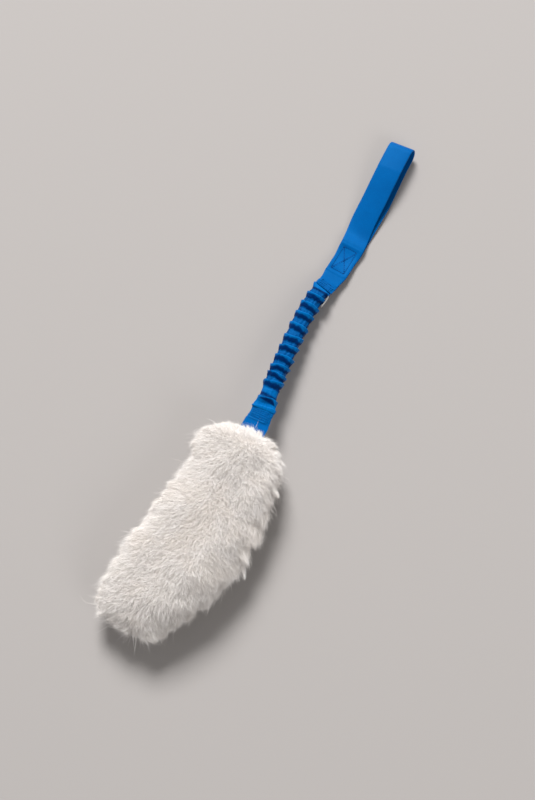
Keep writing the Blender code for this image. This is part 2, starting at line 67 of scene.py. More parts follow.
# %% Camera
camera_data = bpy.data.cameras.new("Camera")
camera_data.sensor_width = 36.0
camera_data.lens = 71.01
camera = bpy.data.objects.new("Camera", camera_data)
bpy.context.scene.collection.objects.link(camera)
CAMERA_PLACE = (0.1676, -0.1343, 1.5377)
heading, tilt, roll = 0.5531, 0.2154, -0.0377  # round Z, away from straight down, round the view
turned = Matrix.Rotation(heading, 4, "Z") @ Matrix.Rotation(tilt, 4, "X")
turned = turned @ Matrix.Rotation(roll, 4, "Z")
camera.matrix_world = Matrix.Translation(CAMERA_PLACE) @ turned
bpy.context.scene.camera = camera
print("camera at", [round(v, 3) for v in camera.matrix_world.translation])

# %% [markdown]
# A plain floor takes the shadow. The main lamp is a large soft box high on the left, as in the
# photograph, where the shadow falls to the right of the strap. A weak lamp on the other side and
# a grey world keep the shadow soft. White wool would clip under strong lamps, so the level stays
# at one where a colour renders about as it is written.

# %% Floor
def new_object(name, mesh):
    """An object in the scene, with this mesh."""
    made = bpy.data.objects.new(name, mesh)
    bpy.context.scene.collection.objects.link(made)
    return made


floor_form = bmesh.new()
bmesh.ops.create_grid(floor_form, x_segments=1, y_segments=1, size=6.0)
floor_mesh = bpy.data.meshes.new("floor")
floor_form.to_mesh(floor_mesh)
floor_form.free()
floor = new_object("floor", floor_mesh)

floor_look = bpy.data.materials.new("pale_floor")
floor_look.use_nodes = True
floor_shader = floor_look.node_tree.nodes["Principled BSDF"]
floor_shader.inputs["Base Color"].default_value = (0.42, 0.395, 0.382, 1.0)
floor_shader.inputs["Roughness"].default_value = 0.85
floor_shader.inputs["Specular IOR Level"].default_value = 0.2
floor_mesh.materials.append(floor_look)

# %% Lamps
def soft_box(name, place, width, watts, aim=(0.0, 0.15, 0.0)):
    """A square area lamp that faces a point of the toy."""
    data = bpy.data.lights.new(name, "AREA")
    data.size = width
    data.energy = watts
    lamp = bpy.data.objects.new(name, data)
    bpy.context.scene.collection.objects.link(lamp)
    lamp.location = place
    lamp.rotation_euler = (Vector(aim) - Vector(place)).to_track_quat("-Z", "Y").to_euler()


soft_box("key", (-3.1, 4.1, 5.0), 2.4, 700.0)
soft_box("fill", (3.2, -1.2, 2.6), 2.2, 42.0)
world = bpy.data.worlds.new("studio")
world.use_nodes = True
world.node_tree.nodes["Background"].inputs["Color"].default_value = (1.0, 0.985, 0.97, 1.0)
world.node_tree.nodes["Background"].inputs["Strength"].default_value = 0.25
bpy.context.scene.world = world
bpy.context.scene.view_settings.view_transform = "Standard"

# %% [markdown]
# ## The strap's route
#
# All the webbing follows one line, from the mouth of the sheepskin down to the floor at the hand
# loop. The stations below are the same as the frame's, so a piece that is laid along them meets
# the solids. A smooth curve through them could be a Bezier; a function of Y is simpler here,
# because every ring then knows its own distance along the toy.

# %% Along the toy
FOLD_Y = 122.2 * MM  # where the strap folds at the mouth
SLEEVE_START = 135.65 * MM
SLEEVE_END = 283.65 * MM
HANDLE_FOLD_Y = 283.8 * MM
HANDLE_END = 451.3 * MM
STRAP_WIDTH = 25 * MM
STRAP_THICKNESS = 1.6 * MM
MOUTH_HEIGHT = 31 * MM

STRAP_ROUTE = (  # share of the way from FOLD_Y to HANDLE_FOLD_Y, X, Z
    (0.00, -3.2 * MM, MOUTH_HEIGHT),
    (0.10, -4.8 * MM, 29.2 * MM),
    (0.27, -9.8 * MM, 25.2 * MM),
    (0.46, -13.5 * MM, 20.7 * MM),
    (0.64, -16.8 * MM, 16.4 * MM),
    (0.79, -18.3 * MM, 12.9 * MM),
    (0.92, -17.6 * MM, 9.9 * MM),
    (1.00, -15.4 * MM, 7.9 * MM),
)


def smooth(t):
    """0 before 0, 1 after 1, and an S between; numbers or arrays."""
    t = np.clip(t, 0.0, 1.0)
    return t * t * (3 - 2 * t)


def through(stations, at):
    """A smooth value through stations of (position, value), at one position."""
    last = len(stations) - 1
    k = 0
    while k < last - 1 and at > stations[k + 1][0]:
        k += 1
    (p1, v1), (p2, v2) = stations[k], stations[k + 1]
    p0, v0 = stations[max(k - 1, 0)]
    p3, v3 = stations[min(k + 2, last)]
    m1 = (v2 - v0) / (p2 - p0)
    m2 = (v3 - v1) / (p3 - p1)
    span = p2 - p1
    t = min(max((at - p1) / span, 0.0), 1.0)
    a = (2 * t**3 - 3 * t**2 + 1) * v1 + (-2 * t**3 + 3 * t**2) * v2
    return a + (t**3 - 2 * t**2 + t) * span * m1 + (t**3 - t**2) * span * m2


def strap_middle(y):
    """The middle of the strap at Y."""
    share = (y - FOLD_Y) / (HANDLE_FOLD_Y - FOLD_Y)
    x = through([(s, x) for s, x, z in STRAP_ROUTE], share)
    z = through([(s, z) for s, x, z in STRAP_ROUTE], share)
    return Vector((x, y, z))


def strap_side(y):
    """The level direction across the strap, to its right."""
    step = 0.5 * MM
    along = strap_middle(min(y + step, HANDLE_FOLD_Y)) - strap_middle(max(y - step, FOLD_Y))
    return along.cross(UP).normalized()


strap_run = round((HANDLE_FOLD_Y - FOLD_Y) / MM)
print("the strap runs", strap_run, "mm from the mouth to the hand loop")

# %% [markdown]
# ## Webbing
#
# The strap is woven from shiny synthetic yarn: fine ribs across it, satin to the light. The weave
# could be modelled yarn by yarn, but it is finer than a pixel, so it is a bump and a small change
# of colour, which is painted shade in the gaps between the yarns. Both follow the cloth through a
# UV map in centimetres, across and along, so that the ribs stay across the strap where it bends.
# Several materials use the weave, so it is one node group.

# %% Node helpers
def put(tree, value, slot):
    """Fill a node's input from another node's output, or with a plain value."""
    if isinstance(value, bpy.types.NodeSocket):
        tree.links.new(value, slot)
    elif value is not None:
        slot.default_value = value


def link_math(tree, kind, first, second=None, third=None):
    """A Math node. Each of its inputs is a socket or a number."""
    node = tree.nodes.new("ShaderNodeMath")
    node.operation = kind
    for slot, value in zip(node.inputs, (first, second, third)):
        put(tree, value, slot)
    return node.outputs[0]


def mix_colours(tree, kind, factor, first, second):
    """A Mix node for colours: plain MIX, or MULTIPLY to darken one by the other."""
    node = tree.nodes.new("ShaderNodeMix")
    node.data_type, node.blend_type = "RGBA", kind
    put(tree, factor, node.inputs["Factor"])
    put(tree, first, node.inputs[6])
    put(tree, second, node.inputs[7])
    return node.outputs[2]


def texture(tree, kind, **values):
    """A texture node that reads Object coordinates."""
    node = tree.nodes.new("ShaderNodeTex" + kind)
    for label, value in values.items():
        node.inputs[label].default_value = value
    place = tree.nodes.new("ShaderNodeTexCoord")
    tree.links.new(place.outputs["Object"], node.inputs["Vector"])
    return node


def new_group(name, inputs, outputs):
    """An empty node group, with sockets of (name, kind, value)."""
    group = bpy.data.node_groups.new(name, "ShaderNodeTree")
    for label, kind, value in inputs:
        socket = group.interface.new_socket(name=label, in_out="INPUT", socket_type=kind)
        if value is not None:
            socket.default_value = value
    for label, kind in outputs:
        group.interface.new_socket(name=label, in_out="OUTPUT", socket_type=kind)
    return group, group.nodes.new("NodeGroupInput"), group.nodes.new("NodeGroupOutput")


def ramp(tree, value, stops):
    """A colour ramp with stops of (position, colour)."""
    node = tree.nodes.new("ShaderNodeValToRGB")
    for end, (place, colour) in zip(node.color_ramp.elements, (stops[0], stops[-1])):
        end.position, end.color = place, (*colour, 1.0)
    for place, colour in stops[1:-1]:
        node.color_ramp.elements.new(place).color = (*colour, 1.0)
    tree.links.new(value, node.inputs["Fac"])
    return node.outputs["Color"]


# %% The weave, as a group
weave, weave_in, weave_out = new_group(
    "Plain weave",
    [("Cloth", "NodeSocketVector", None), ("Yarns per cm", "NodeSocketFloat", 8.0),
     ("Picks per cm", "NodeSocketFloat", 11.0)],
    [("Height", "NodeSocketFloat"), ("Gap", "NodeSocketFloat")],
)
split = weave.nodes.new("ShaderNodeSeparateXYZ")
weave.links.new(weave_in.outputs["Cloth"], split.inputs[0])
across = link_math(weave, "MULTIPLY", split.outputs["X"], weave_in.outputs["Yarns per cm"])
along = link_math(weave, "MULTIPLY", split.outputs["Y"], weave_in.outputs["Picks per cm"])
odd = link_math(weave, "ADD", link_math(weave, "FLOOR", across), link_math(weave, "FLOOR", along))
odd = link_math(weave, "FLOORED_MODULO", odd, 2.0)


def rounded(count):
    """One round back for each yarn: a sine without its sign."""
    wave = link_math(weave, "SINE", link_math(weave, "MULTIPLY", count, math.pi))
    return link_math(weave, "ABSOLUTE", wave)


round_across, round_along = rounded(across), rounded(along)
over = link_math(weave, "MULTIPLY", link_math(weave, "POWER", round_across, 0.6), round_along)
under = link_math(weave, "MULTIPLY", link_math(weave, "POWER", round_along, 0.6), round_across)
under = link_math(weave, "MULTIPLY", under, 0.72)
even = link_math(weave, "SUBTRACT", 1.0, odd)
over = link_math(weave, "MULTIPLY", over, even)
height = link_math(weave, "ADD", over, link_math(weave, "MULTIPLY", under, odd))
weave.links.new(height, weave_out.inputs["Height"])
# The Gap output is painted shade: it darkens the colour in the recesses between the yarns.
gap = link_math(weave, "SUBTRACT", 1.0, height)
weave.links.new(link_math(weave, "POWER", gap, 3.0), weave_out.inputs["Gap"])
print("group:", weave.name)

# %% [markdown]
# Slow changes of tone keep a long plain surface from looking printed: a little more or less dye,
# rubbed places, dust. This group makes them from two noises on Object coordinates.

# %% Slow changes of tone, as a group
mottle, mottle_in, mottle_out = new_group(
    "Mottle",
    [("Colour", "NodeSocketColor", (0.5, 0.5, 0.5, 1)),
     ("Deep", "NodeSocketColor", (0.3, 0.3, 0.3, 1)),
     ("Scale", "NodeSocketFloat", 60.0), ("Amount", "NodeSocketFloat", 0.5)],
    [("Colour", "NodeSocketColor"), ("Mask", "NodeSocketFloat")],
)
slow, fine = texture(mottle, "Noise", Detail=3.0), texture(mottle, "Noise", Detail=2.0)
mottle.links.new(mottle_in.outputs["Scale"], slow.inputs["Scale"])
finer = link_math(mottle, "MULTIPLY", mottle_in.outputs["Scale"], 9.0)
mottle.links.new(finer, fine.inputs["Scale"])
mask = link_math(mottle, "MULTIPLY", slow.outputs["Fac"], 0.7)
mask = link_math(mottle, "ADD", mask, link_math(mottle, "MULTIPLY", fine.outputs["Fac"], 0.3))
spread = mottle.nodes.new("ShaderNodeMapRange")
spread.inputs["From Min"].default_value, spread.inputs["From Max"].default_value = 0.38, 0.62
mottle.links.new(mask, spread.inputs["Value"])
mask = link_math(mottle, "MULTIPLY", spread.outputs["Result"], mottle_in.outputs["Amount"])
dyed = mix_colours(mottle, "MIX", mask, mottle_in.outputs["Colour"], mottle_in.outputs["Deep"])
mottle.links.new(dyed, mottle_out.inputs["Colour"])
mottle.links.new(mask, mottle_out.inputs["Mask"])
print("group:", mottle.name)

# %% Material helpers
def new_material(name, roughness):
    """A material with one Principled shader."""
    look = bpy.data.materials.new(name)
    look.use_nodes = True
    shader = look.node_tree.nodes["Principled BSDF"]
    shader.inputs["Roughness"].default_value = roughness
    return look, look.node_tree, shader


def set_shader(shader, specular, **values):
    """Plain values on the shader's own sockets."""
    shader.inputs["Specular IOR Level"].default_value = specular
    for label, value in values.items():
        shader.inputs[label.replace("_", " ")].default_value = value


def use_group(tree, group, **values):
    """A group in a material, with its own values."""
    node = tree.nodes.new("ShaderNodeGroup")
    node.node_tree = group
    for label, value in values.items():
        node.inputs[label.replace("_", " ")].default_value = value
    return node


def bumped(tree, shader, height, depth, strength=None):
    """Relief from a height, as deep as a length."""
    relief = tree.nodes.new("ShaderNodeBump")
    relief.inputs["Distance"].default_value = depth
    put(tree, strength, relief.inputs["Strength"])
    tree.links.new(height, relief.inputs["Height"])
    tree.links.new(relief.outputs["Normal"], shader.inputs["Normal"])


def roughened(tree, shader, mask, change, start):
    """Roughness that starts at a value and changes with a mask."""
    rough = link_math(tree, "MULTIPLY_ADD", mask, change, start)
    tree.links.new(rough, shader.inputs["Roughness"])


def mottled(name, roughness, colour, deep, scale, amount):
    """A material whose colour is the mottle, and the mottle's mask."""
    look, tree, shader = new_material(name, roughness)
    tone = use_group(tree, mottle, Colour=(*colour, 1), Deep=(*deep, 1), Scale=scale, Amount=amount)
    tree.links.new(tone.outputs["Colour"], shader.inputs["Base Color"])
    return look, tree, shader, tone.outputs["Mask"]


# %% A woven material
def woven(name, colour, deep, roughness, yarns, picks, bump):
    """Cloth whose weave follows a UV map in centimetres."""
    look, tree, shader, mask = mottled(name, roughness, colour, deep, 45.0, 0.55)
    cloth = tree.nodes.new("ShaderNodeUVMap")
    cloth.uv_map = "Cloth"
    cloth_weave = use_group(tree, weave, Yarns_per_cm=yarns, Picks_per_cm=picks)
    tree.links.new(cloth.outputs["UV"], cloth_weave.inputs["Cloth"])
    # Painted shade: the colour darkens in the gaps between the yarns.
    gap = link_math(tree, "MULTIPLY", cloth_weave.outputs["Gap"], 0.5)
    base_colour = shader.inputs["Base Color"]
    painted_gap_shade = (*(0.35 * c for c in deep), 1)
    gaps = mix_colours(tree, "MIX", gap, base_colour.links[0].from_socket, painted_gap_shade)
    tree.links.new(gaps, base_colour)
    roughened(tree, shader, mask, 0.12, roughness)
    bumped(tree, shader, cloth_weave.outputs["Height"], bump, 0.6)
    return look


BRIGHT_BLUE = (0.0006, 0.160, 0.500)
BLUE = (0.0005, 0.122, 0.415)
DEEP_BLUE = (0.0004, 0.090, 0.325)
BLUE_GLOSS, BLUE_TINT = 0.13, (0.1, 0.6, 1.0, 1.0)  # a weak gloss in the yarn's own colour
webbing_look = woven("blue_webbing", BLUE, DEEP_BLUE, 0.42, 9.0, 12.0, 0.12 * MM)
# The sleeve's brighter blue shows fully only on the crests, as a painted highlight.
sleeve_look = woven("blue_gathered_webbing", BRIGHT_BLUE, BLUE, 0.40, 11.0, 14.0, 0.10 * MM)
for look in (webbing_look, sleeve_look):
    set_shader(look.node_tree.nodes["Principled BSDF"], BLUE_GLOSS, Specular_Tint=BLUE_TINT,
               Sheen_Weight=0.05, Sheen_Roughness=0.4, Sheen_Tint=(0.05, 0.5, 1.0, 1.0))
# The sleeve's colour holds painted light: by the Rise of each point, the ramp paints shade on the
# ruffles' slopes and in their hollows, and the crests keep the full bright blue as a painted
# highlight.
tree = sleeve_look.node_tree
rise = tree.nodes.new("ShaderNodeAttribute")
rise.attribute_name = "Rise"
painted_shade_and_highlight = ramp(tree, rise.outputs["Fac"], [  # painted shade on the slopes and in the hollows, a painted highlight on the crests
    (0.0, (0.62, 0.64, 0.70)), (0.10, (0.46, 0.48, 0.56)), (0.30, (0.10, 0.11, 0.21)),
    (0.70, (0.16, 0.18, 0.30)), (0.95, (1.0, 1.0, 1.0))])
base_colour = tree.nodes["Principled BSDF"].inputs["Base Color"]
hollows = mix_colours(tree, "MULTIPLY", 1.0, base_colour.links[0].from_socket, painted_shade_and_highlight)
tree.links.new(hollows, base_colour)
label_look = woven("white_tape", (0.86, 0.86, 0.85), (0.78, 0.78, 0.77), 0.7, 16.0, 16.0, 0.05 * MM)
print("materials:", webbing_look.name, sleeve_look.name, label_look.name)

# %% [markdown]
# ### Rolling cloth into a closed skin
#
# Strap, sleeve and label are all long closed skins. Each could be a curve with a bevel, but then
# its section could not change along the way. A flat grid is rolled up instead: a function says
# where each share of the length and of the turn goes, the long seam is merged, and the ends are
# filled. The same function gives the cloth's own coordinates, before the seam closes.

# %% Roll a grid
SOFT, CUT = 180, 60  # degrees: a soft skin has no sharp edge, a cut one has some


def rolled(name, place, lengthwise, around, look, edges=SOFT):
    """place(share of the length, share of the turn) gives a point, and across and along in cm."""
    form = bmesh.new()
    bmesh.ops.create_grid(form, x_segments=lengthwise, y_segments=around, size=0.5)
    cloth = form.loops.layers.uv.new("Cloth")
    placed = {v: place(v.co.x + 0.5, v.co.y + 0.5) for v in form.verts}
    for face in form.faces:
        for corner in face.loops:
            point, over_cm, along_cm = placed[corner.vert]
            corner[cloth].uv = (over_cm, along_cm)
    for vert, (point, over_cm, along_cm) in placed.items():
        vert.co = point
    bmesh.ops.remove_doubles(form, verts=form.verts, dist=0.002 * MM)
    bmesh.ops.holes_fill(form, edges=[e for e in form.edges if e.is_boundary], sides=0)
    bmesh.ops.recalc_face_normals(form, faces=form.faces)
    return from_form(name, form, look, edges)


def from_form(name, form, look, edges=CUT):
    """A named object from a bmesh, smooth, with its material."""
    mesh = bpy.data.meshes.new(name)
    form.to_mesh(mesh)
    form.free()
    mesh.shade_smooth()
    mesh.set_sharp_from_angle(angle=math.radians(edges))
    mesh.materials.append(look)
    piece = new_object(name, mesh)
    return piece


def squared(turn, power):
    """Across and up, from -1 to 1, of a point at a share of the turn round a squared oval."""
    angle = 2 * math.pi * turn
    c, s = math.cos(angle), math.sin(angle)
    return math.copysign(abs(c) ** (2 / power), c), math.copysign(abs(s) ** (2 / power), s)


# %% [markdown]
# ## The hand loop
#
# The webbing goes out along the top, turns over at the far end and comes back along the floor.
# The two layers are sewn flat on each other up to the box, and open beyond it. The path in the
# plane of Y and height is measured along its own length, so that the weave isn't stretched.

# %% The loop's path
LANDING = 48 * MM  # from the fold to where the handle meets the floor
START_HEIGHT = 6.5 * MM  # of the lower layer, where the sleeve carries it
LOOP_HEIGHT = 15.5 * MM  # between the layers where the loop is widest
LOOP_OPENS, LOOP_OPEN_RUN = 46 * MM, 50 * MM  # over this run the loop turns on its edge
RISE_START, RISE_RUN = 60 * MM, 76 * MM  # the top layer climbs away slowly
HUMP_AT, HUMP_LENGTH, HUMP = 50 * MM, 8 * MM, 3.0 * MM  # where the layers part
LOOP_SKEW = 2 * MM  # the far end isn't cut square
ROLL = math.radians(7)  # the open loop leans to the left
LAYER_SHIFT = 0.10  # the top layer lies this share of its height to the left
TOP_ASIDE = 3.0 * MM  # and this much more in the middle of the loop
HANDLE_START_WIDTH, JOIN_WIDTH = 19.5 * MM, 23 * MM  # pinched at the tack, wider at the box
CORNER_START, CORNER_END = 3 * MM, 16 * MM
BOX_LENGTH, BOX_WIDTH = 26.5 * MM, 14.5 * MM
BOX_START, BOX_SHIFT = 18 * MM, -0.5 * MM
TONGUE_START = 277.6 * MM  # the top layer reaches back over the end of the sleeve
HANDLE_BEND = (  # the middle of the handle's face: distance from the fold, X
    (0 * MM, -14.4 * MM),
    (8 * MM, -13.6 * MM),
    (18 * MM, -12.6 * MM),
    (40 * MM, -12.1 * MM),
    (60 * MM, -12.1 * MM),
    (85 * MM, -11.5 * MM),
    (100 * MM, -11.4 * MM),
    (125 * MM, -13.3 * MM),
    (145 * MM, -14.8 * MM),
    (167.5 * MM, -15.6 * MM),
)


def layer_height(y):
    """Height of the lower layer's middle over the floor."""
    slope = (START_HEIGHT - STRAP_THICKNESS / 2) / LANDING
    return STRAP_THICKNESS / 2 + slope * max(HANDLE_FOLD_Y + LANDING - y, 0.0)


def layer_spread(y):
    """How far the upper layer lies over the lower one."""
    sewn = STRAP_THICKNESS + 0.3 * MM
    climb = min(max((y - HANDLE_FOLD_Y - RISE_START) / RISE_RUN, 0.0), 1.0)
    opened = 0.35 * climb + 0.65 * climb * climb * (2.2 - 1.2 * climb)
    hump = HUMP * math.exp(-(((y - HANDLE_FOLD_Y - HUMP_AT) / HUMP_LENGTH) ** 2))
    over_sleeve = 1.9 * MM * (1 - float(smooth((y - TONGUE_START - 3 * MM) / (11 * MM))))
    return sewn + (LOOP_HEIGHT - sewn) * opened + hump + over_sleeve


def handle_point(y, height, across):
    """A point of the hand loop, from its height over the floor and its share of the width."""
    from_fold = y - HANDLE_FOLD_Y
    opened = float(smooth((from_fold - LOOP_OPENS) / LOOP_OPEN_RUN))
    lean = ROLL * opened
    corner = float(smooth((from_fold - CORNER_START) / (CORNER_END - CORNER_START)))
    spread = float(smooth((from_fold - BOX_START - BOX_LENGTH / 2) / (BOX_LENGTH / 2)))
    width = HANDLE_START_WIDTH + (JOIN_WIDTH - HANDLE_START_WIDTH) * corner
    width = width + (STRAP_WIDTH - JOIN_WIDTH) * spread
    middle = through(HANDLE_BEND, max(from_fold, 0.0))
    if from_fold < 0:
        middle += strap_middle(y).x - strap_middle(HANDLE_FOLD_Y).x
    out = width * across
    x = middle - width / 2 + out * math.cos(lean) - height * (math.sin(lean) + LAYER_SHIFT * opened)
    side = strap_side(HANDLE_FOLD_Y)
    skew = side.y / side.x * (1 - corner) * (x - strap_middle(HANDLE_FOLD_Y).x)
    skew = skew + LOOP_SKEW * opened * (across - 0.5)
    return Vector((x, y + skew, out * math.sin(lean) + height * math.cos(lean)))


# %% Measure the path
radius = LOOP_HEIGHT / 2
turn_y = HANDLE_END - LOOP_SKEW / 2 - radius - STRAP_THICKNESS / 2
out_y = np.linspace(TONGUE_START, turn_y, 140)
back_y = np.linspace(turn_y, HANDLE_FOLD_Y + 0.15 * MM, 140)
loop_path = [(y, layer_height(y) + layer_spread(y)) for y in out_y]
for step in range(1, 20):
    angle = math.pi / 2 - math.pi * step / 20
    height = STRAP_THICKNESS / 2 + radius + radius * math.sin(angle)
    loop_path.append((turn_y + radius * math.cos(angle), height))
loop_path += [(y, layer_height(y)) for y in back_y]
loop_path = np.array(loop_path)
loop_steps = np.linalg.norm(np.diff(loop_path, axis=0), axis=1)
loop_run = np.concatenate([[0.0], np.cumsum(loop_steps)])
LOOP_LENGTH = float(loop_run[-1])
print("webbing in the hand loop:", round(LOOP_LENGTH / MM), "mm")

# %% [markdown]
# Thread pulls the cloth in along its line. So the face dips along the box and the cross, and the
# rows of the bar tack pucker it. These small hollows are what makes the stitches look sewn in.

# %% Where thread pulls the face down
BOX_MIDDLE_Y = HANDLE_FOLD_Y + BOX_START + BOX_LENGTH / 2
TACK_ROWS = [278.9 * MM, 280.7 * MM, 282.6 * MM, 284.6 * MM]


def box_lines():
    """The sewn outline and its cross, as pairs of points round the box's own middle."""
    w, h = BOX_WIDTH / 2, BOX_LENGTH / 2
    a, b, c, d = (-w, -h), (w, -h), (w, h), (-w, h)
    return [(a, b), (b, c), (c, d), (d, a), (a, c), (b, d)]


def box_middle_x(y):
    """The middle of the sewn box at Y."""
    return through(HANDLE_BEND, y - HANDLE_FOLD_Y) + BOX_SHIFT


def line_distance(p, line):
    """How far a point of the face is from a line of stitches."""
    (ax, ay), (bx, by) = line
    dx, dy = bx - ax, by - ay
    t = min(max(((p[0] - ax) * dx + (p[1] - ay) * dy) / (dx * dx + dy * dy), 0.0), 1.0)
    return math.hypot(p[0] - ax - t * dx, p[1] - ay - t * dy)


BOX_LINES = box_lines()


def face_dip(x, y):
    """How far thread and puckers pull the top face down."""
    dip = 0.0
    if abs(y - BOX_MIDDLE_Y) < BOX_LENGTH / 2 + 4 * MM:
        here = (x - box_middle_x(BOX_MIDDLE_Y), y - BOX_MIDDLE_Y)
        rim = min(line_distance(here, line) for line in BOX_LINES[:4])
        cross = min(line_distance(here, line) for line in BOX_LINES[4:])
        near = min(rim, cross)
        at_rim = 0.16 * MM * math.exp(-((rim / (0.9 * MM)) ** 2))
        dip += at_rim + 0.42 * MM * math.exp(-((cross / (1.0 * MM)) ** 2))
        dip -= 0.30 * MM * math.exp(-(((near - 3.2 * MM) / (2.2 * MM)) ** 2))
    for row in TACK_ROWS:
        wave = 0.5 + 0.5 * math.sin(x / (1.7 * MM) + 40 * row / MM)
        dip += (0.22 + 0.50 * wave) * MM * math.exp(-(((y - row) / (0.55 * MM)) ** 2))
    pucker = noise.noise(Vector((x * 260, y * 420, 3.1)))
    dip += 0.80 * MM * pucker * float(smooth((292 * MM - y) / (9 * MM)))
    return dip


def on_path(run, column):
    """Y (column 0) or height (column 1) of the loop's path, as far along it as run."""
    return float(np.interp(run, loop_run, loop_path[:, column]))


def loop_surface(run, across, up):
    """A point of the loop's skin: run along the path, across from 0 to 1, up from -1 to 1."""
    y, h = on_path(run, 0), on_path(run, 1)
    step = 0.4 * MM
    y2 = on_path(run + step, 0) - on_path(run - step, 0)
    h2 = on_path(run + step, 1) - on_path(run - step, 1)
    size = math.hypot(y2, h2)
    out_y, out_h = -h2 / size, y2 / size
    half = STRAP_THICKNESS / 2 * up
    cup = 0.7 * MM * (2 * across - 1) ** 2 * (1 if run < LOOP_LENGTH / 2 else 0)
    cup *= float(smooth((y - HANDLE_FOLD_Y - LOOP_OPENS) / LOOP_OPEN_RUN))
    point = handle_point(y + out_y * half, h + out_h * (half - cup), across)
    if run < LOOP_LENGTH / 2:
        from_fold = y - HANDLE_FOLD_Y
        aside = smooth((from_fold - 46 * MM) / (36 * MM))
        aside = aside * smooth((146 * MM - from_fold) / (56 * MM))
        point.x -= TOP_ASIDE * float(aside)
    if up > 0 and run < 60 * MM:
        point.z -= face_dip(point.x, point.y)
    return point


# %% Weave the hand loop
def loop_place(share, turn):
    """The same skin for rolled(), with its place on the cloth in cm."""
    run = LOOP_LENGTH * share
    across, up = squared(turn, 7.0)
    point = loop_surface(run, 0.5 + across / 2, up)
    return point, across * STRAP_WIDTH / 2 * 100, run * 100


hand_loop = rolled("hand_loop_webbing", loop_place, 420, 36, webbing_look)
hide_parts("handle_strap")
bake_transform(hand_loop)
print("hand loop:", len(hand_loop.data.polygons), "faces")

# %% [markdown]
# ## The gathered sleeve
#
# The same webbing, woven as a tube, is sewn shut at both ends while the elastic inside is pulled
# out. When the elastic shortens, the tube folds up into ruffles. Cloth could be simulated for
# this, but a simulation would not put each ruffle where the photograph shows it. Here every
# ruffle is written down: where it is, how high, how wide and how much it leans. Walls that lean
# over the valley beside them, and uneven crests, make it look gathered rather than turned.

# %% The ruffles
RUFFLES = (  # crest along Y in mm, height in mm, length in mm, lean in degrees across the tube
    (137.4, 1.9, 2.6, 6),
    (146.6, 3.4, 3.4, -4),
    (155.5, 0.5, 3.0, 9),
    (164.4, 4.0, 4.6, 5),
    (172.9, 3.8, 3.6, -3),
    (181.7, 4.1, 4.0, 4),
    (192.2, 4.1, 4.6, -2),
    (204.0, 4.0, 4.4, 6),
    (215.3, 4.2, 4.8, 3),
    (228.2, 4.2, 5.0, -4),
    (242.2, 4.1, 4.8, 2),
    (253.2, 4.1, 4.6, -3),
    (265.6, 4.0, 4.4, 3),
    (275.8, 2.8, 3.0, -6),
)
CREST_HALF_WIDTH = 10.5 * MM
CREST_HALF_HEIGHT = 9.4 * MM
HOLLOW = 4.2 * MM  # from a crest down to the hollow beside it
SMOOTH_GAP = 154.8 * MM  # here the sleeve has no ruffle
LOWER_END = (11.6 * MM, 2.7 * MM)  # half width and half height where the sleeve is sewn flat
UPPER_END = (9.8 * MM, 1.5 * MM)
RUFFLE_REACH = 16 * MM  # further away than this, a ruffle has no effect


def ruffle_lift(y, c, s):
    """How far the cloth stands over the hollows, and how far it leans along the strap."""
    lift, shift = 0.0, 0.0
    for k, (at, tall, long, lean) in enumerate(RUFFLES):
        if abs(y - at * MM) > RUFFLE_REACH:
            continue
        tilt = math.tan(math.radians(lean)) * c * CREST_HALF_WIDTH
        wander = 1.1 * MM * noise.noise(Vector((c * 1.3, s * 1.3, k * 3.7)))
        t = (y - at * MM - tilt - wander) / (long * MM)
        t = t / 0.5 if t > 0 else t / 1.2
        bump = max(1.0 - abs(t) ** (2.6 if t > 0 else 0.9), 0.0) ** 0.85
        sag = 1.0 + 0.12 * c + 0.24 * noise.noise(Vector((c * 1.7 + 7, s * 1.7, k * 5.1)))
        here = tall * MM * bump * sag
        lift = max(lift, here) + 0.25 * min(lift, here)
        shift += 0.9 * MM * bump * bump
    return lift, shift


def opening(y):
    """How round the sleeve is: 0 where it is sewn flat, 1 between."""
    from_start = smooth((y - SLEEVE_START - 2 * MM) / (12 * MM))
    return float(min(from_start, smooth((SLEEVE_END - 5.5 * MM - y) / (8 * MM))))


def sleeve_place(share, turn):
    """A point of the sleeve's skin, with its place on the cloth in cm."""
    y = SLEEVE_START + (SLEEVE_END - SLEEVE_START) * share
    angle = 2 * math.pi * turn
    c, s = math.cos(angle), math.sin(angle)
    side, middle = strap_side(y), strap_middle(y)
    lift, shift = ruffle_lift(y, c, s)
    deep = 1.0 - min(lift / HOLLOW, 1.0)
    pleat = 0.24 * MM * math.sin(9 * angle + 7 * noise.noise(Vector((c, s, y * 60)))) * deep
    rough = 0.42 * MM * noise.noise(Vector((c * 3.1, s * 3.1, y * 230)))
    rough = rough + 0.26 * MM * noise.noise(Vector((c * 8, s * 8, y * 480)))
    swell = opening(y)
    stand = (lift - HOLLOW) * (1.0 - 0.5 * c * c) + pleat + rough
    flat_w, flat_h = LOWER_END if share < 0.5 else UPPER_END
    flat_w, flat_h = flat_w + 0.45 * lift, flat_h + 0.8 * lift + 0.6 * rough
    across, up = squared(turn, 4.0 - 1.9 * swell)
    w = flat_w + (CREST_HALF_WIDTH + stand - flat_w) * swell
    h = flat_h + (CREST_HALF_HEIGHT + stand - flat_h) * swell
    point = middle + side * (across * w) + UP * (up * h)
    point.y += shift * (0.2 + 0.8 * swell)
    point.z = max(point.z, 0.3 * MM)
    return point, turn * 6.4, share * 26.0


sleeve = rolled("gathered_sleeve", sleeve_place, 420, 72, sleeve_look)


def mark_rise(piece, rise_at):
    """Keep on each point how far it stands out of the hollows, for the painted shade and highlight.
    """
    rise = piece.data.attributes.new("Rise", "FLOAT", "POINT")
    rise.data.foreach_set("value", [rise_at(vert.co) for vert in piece.data.vertices])


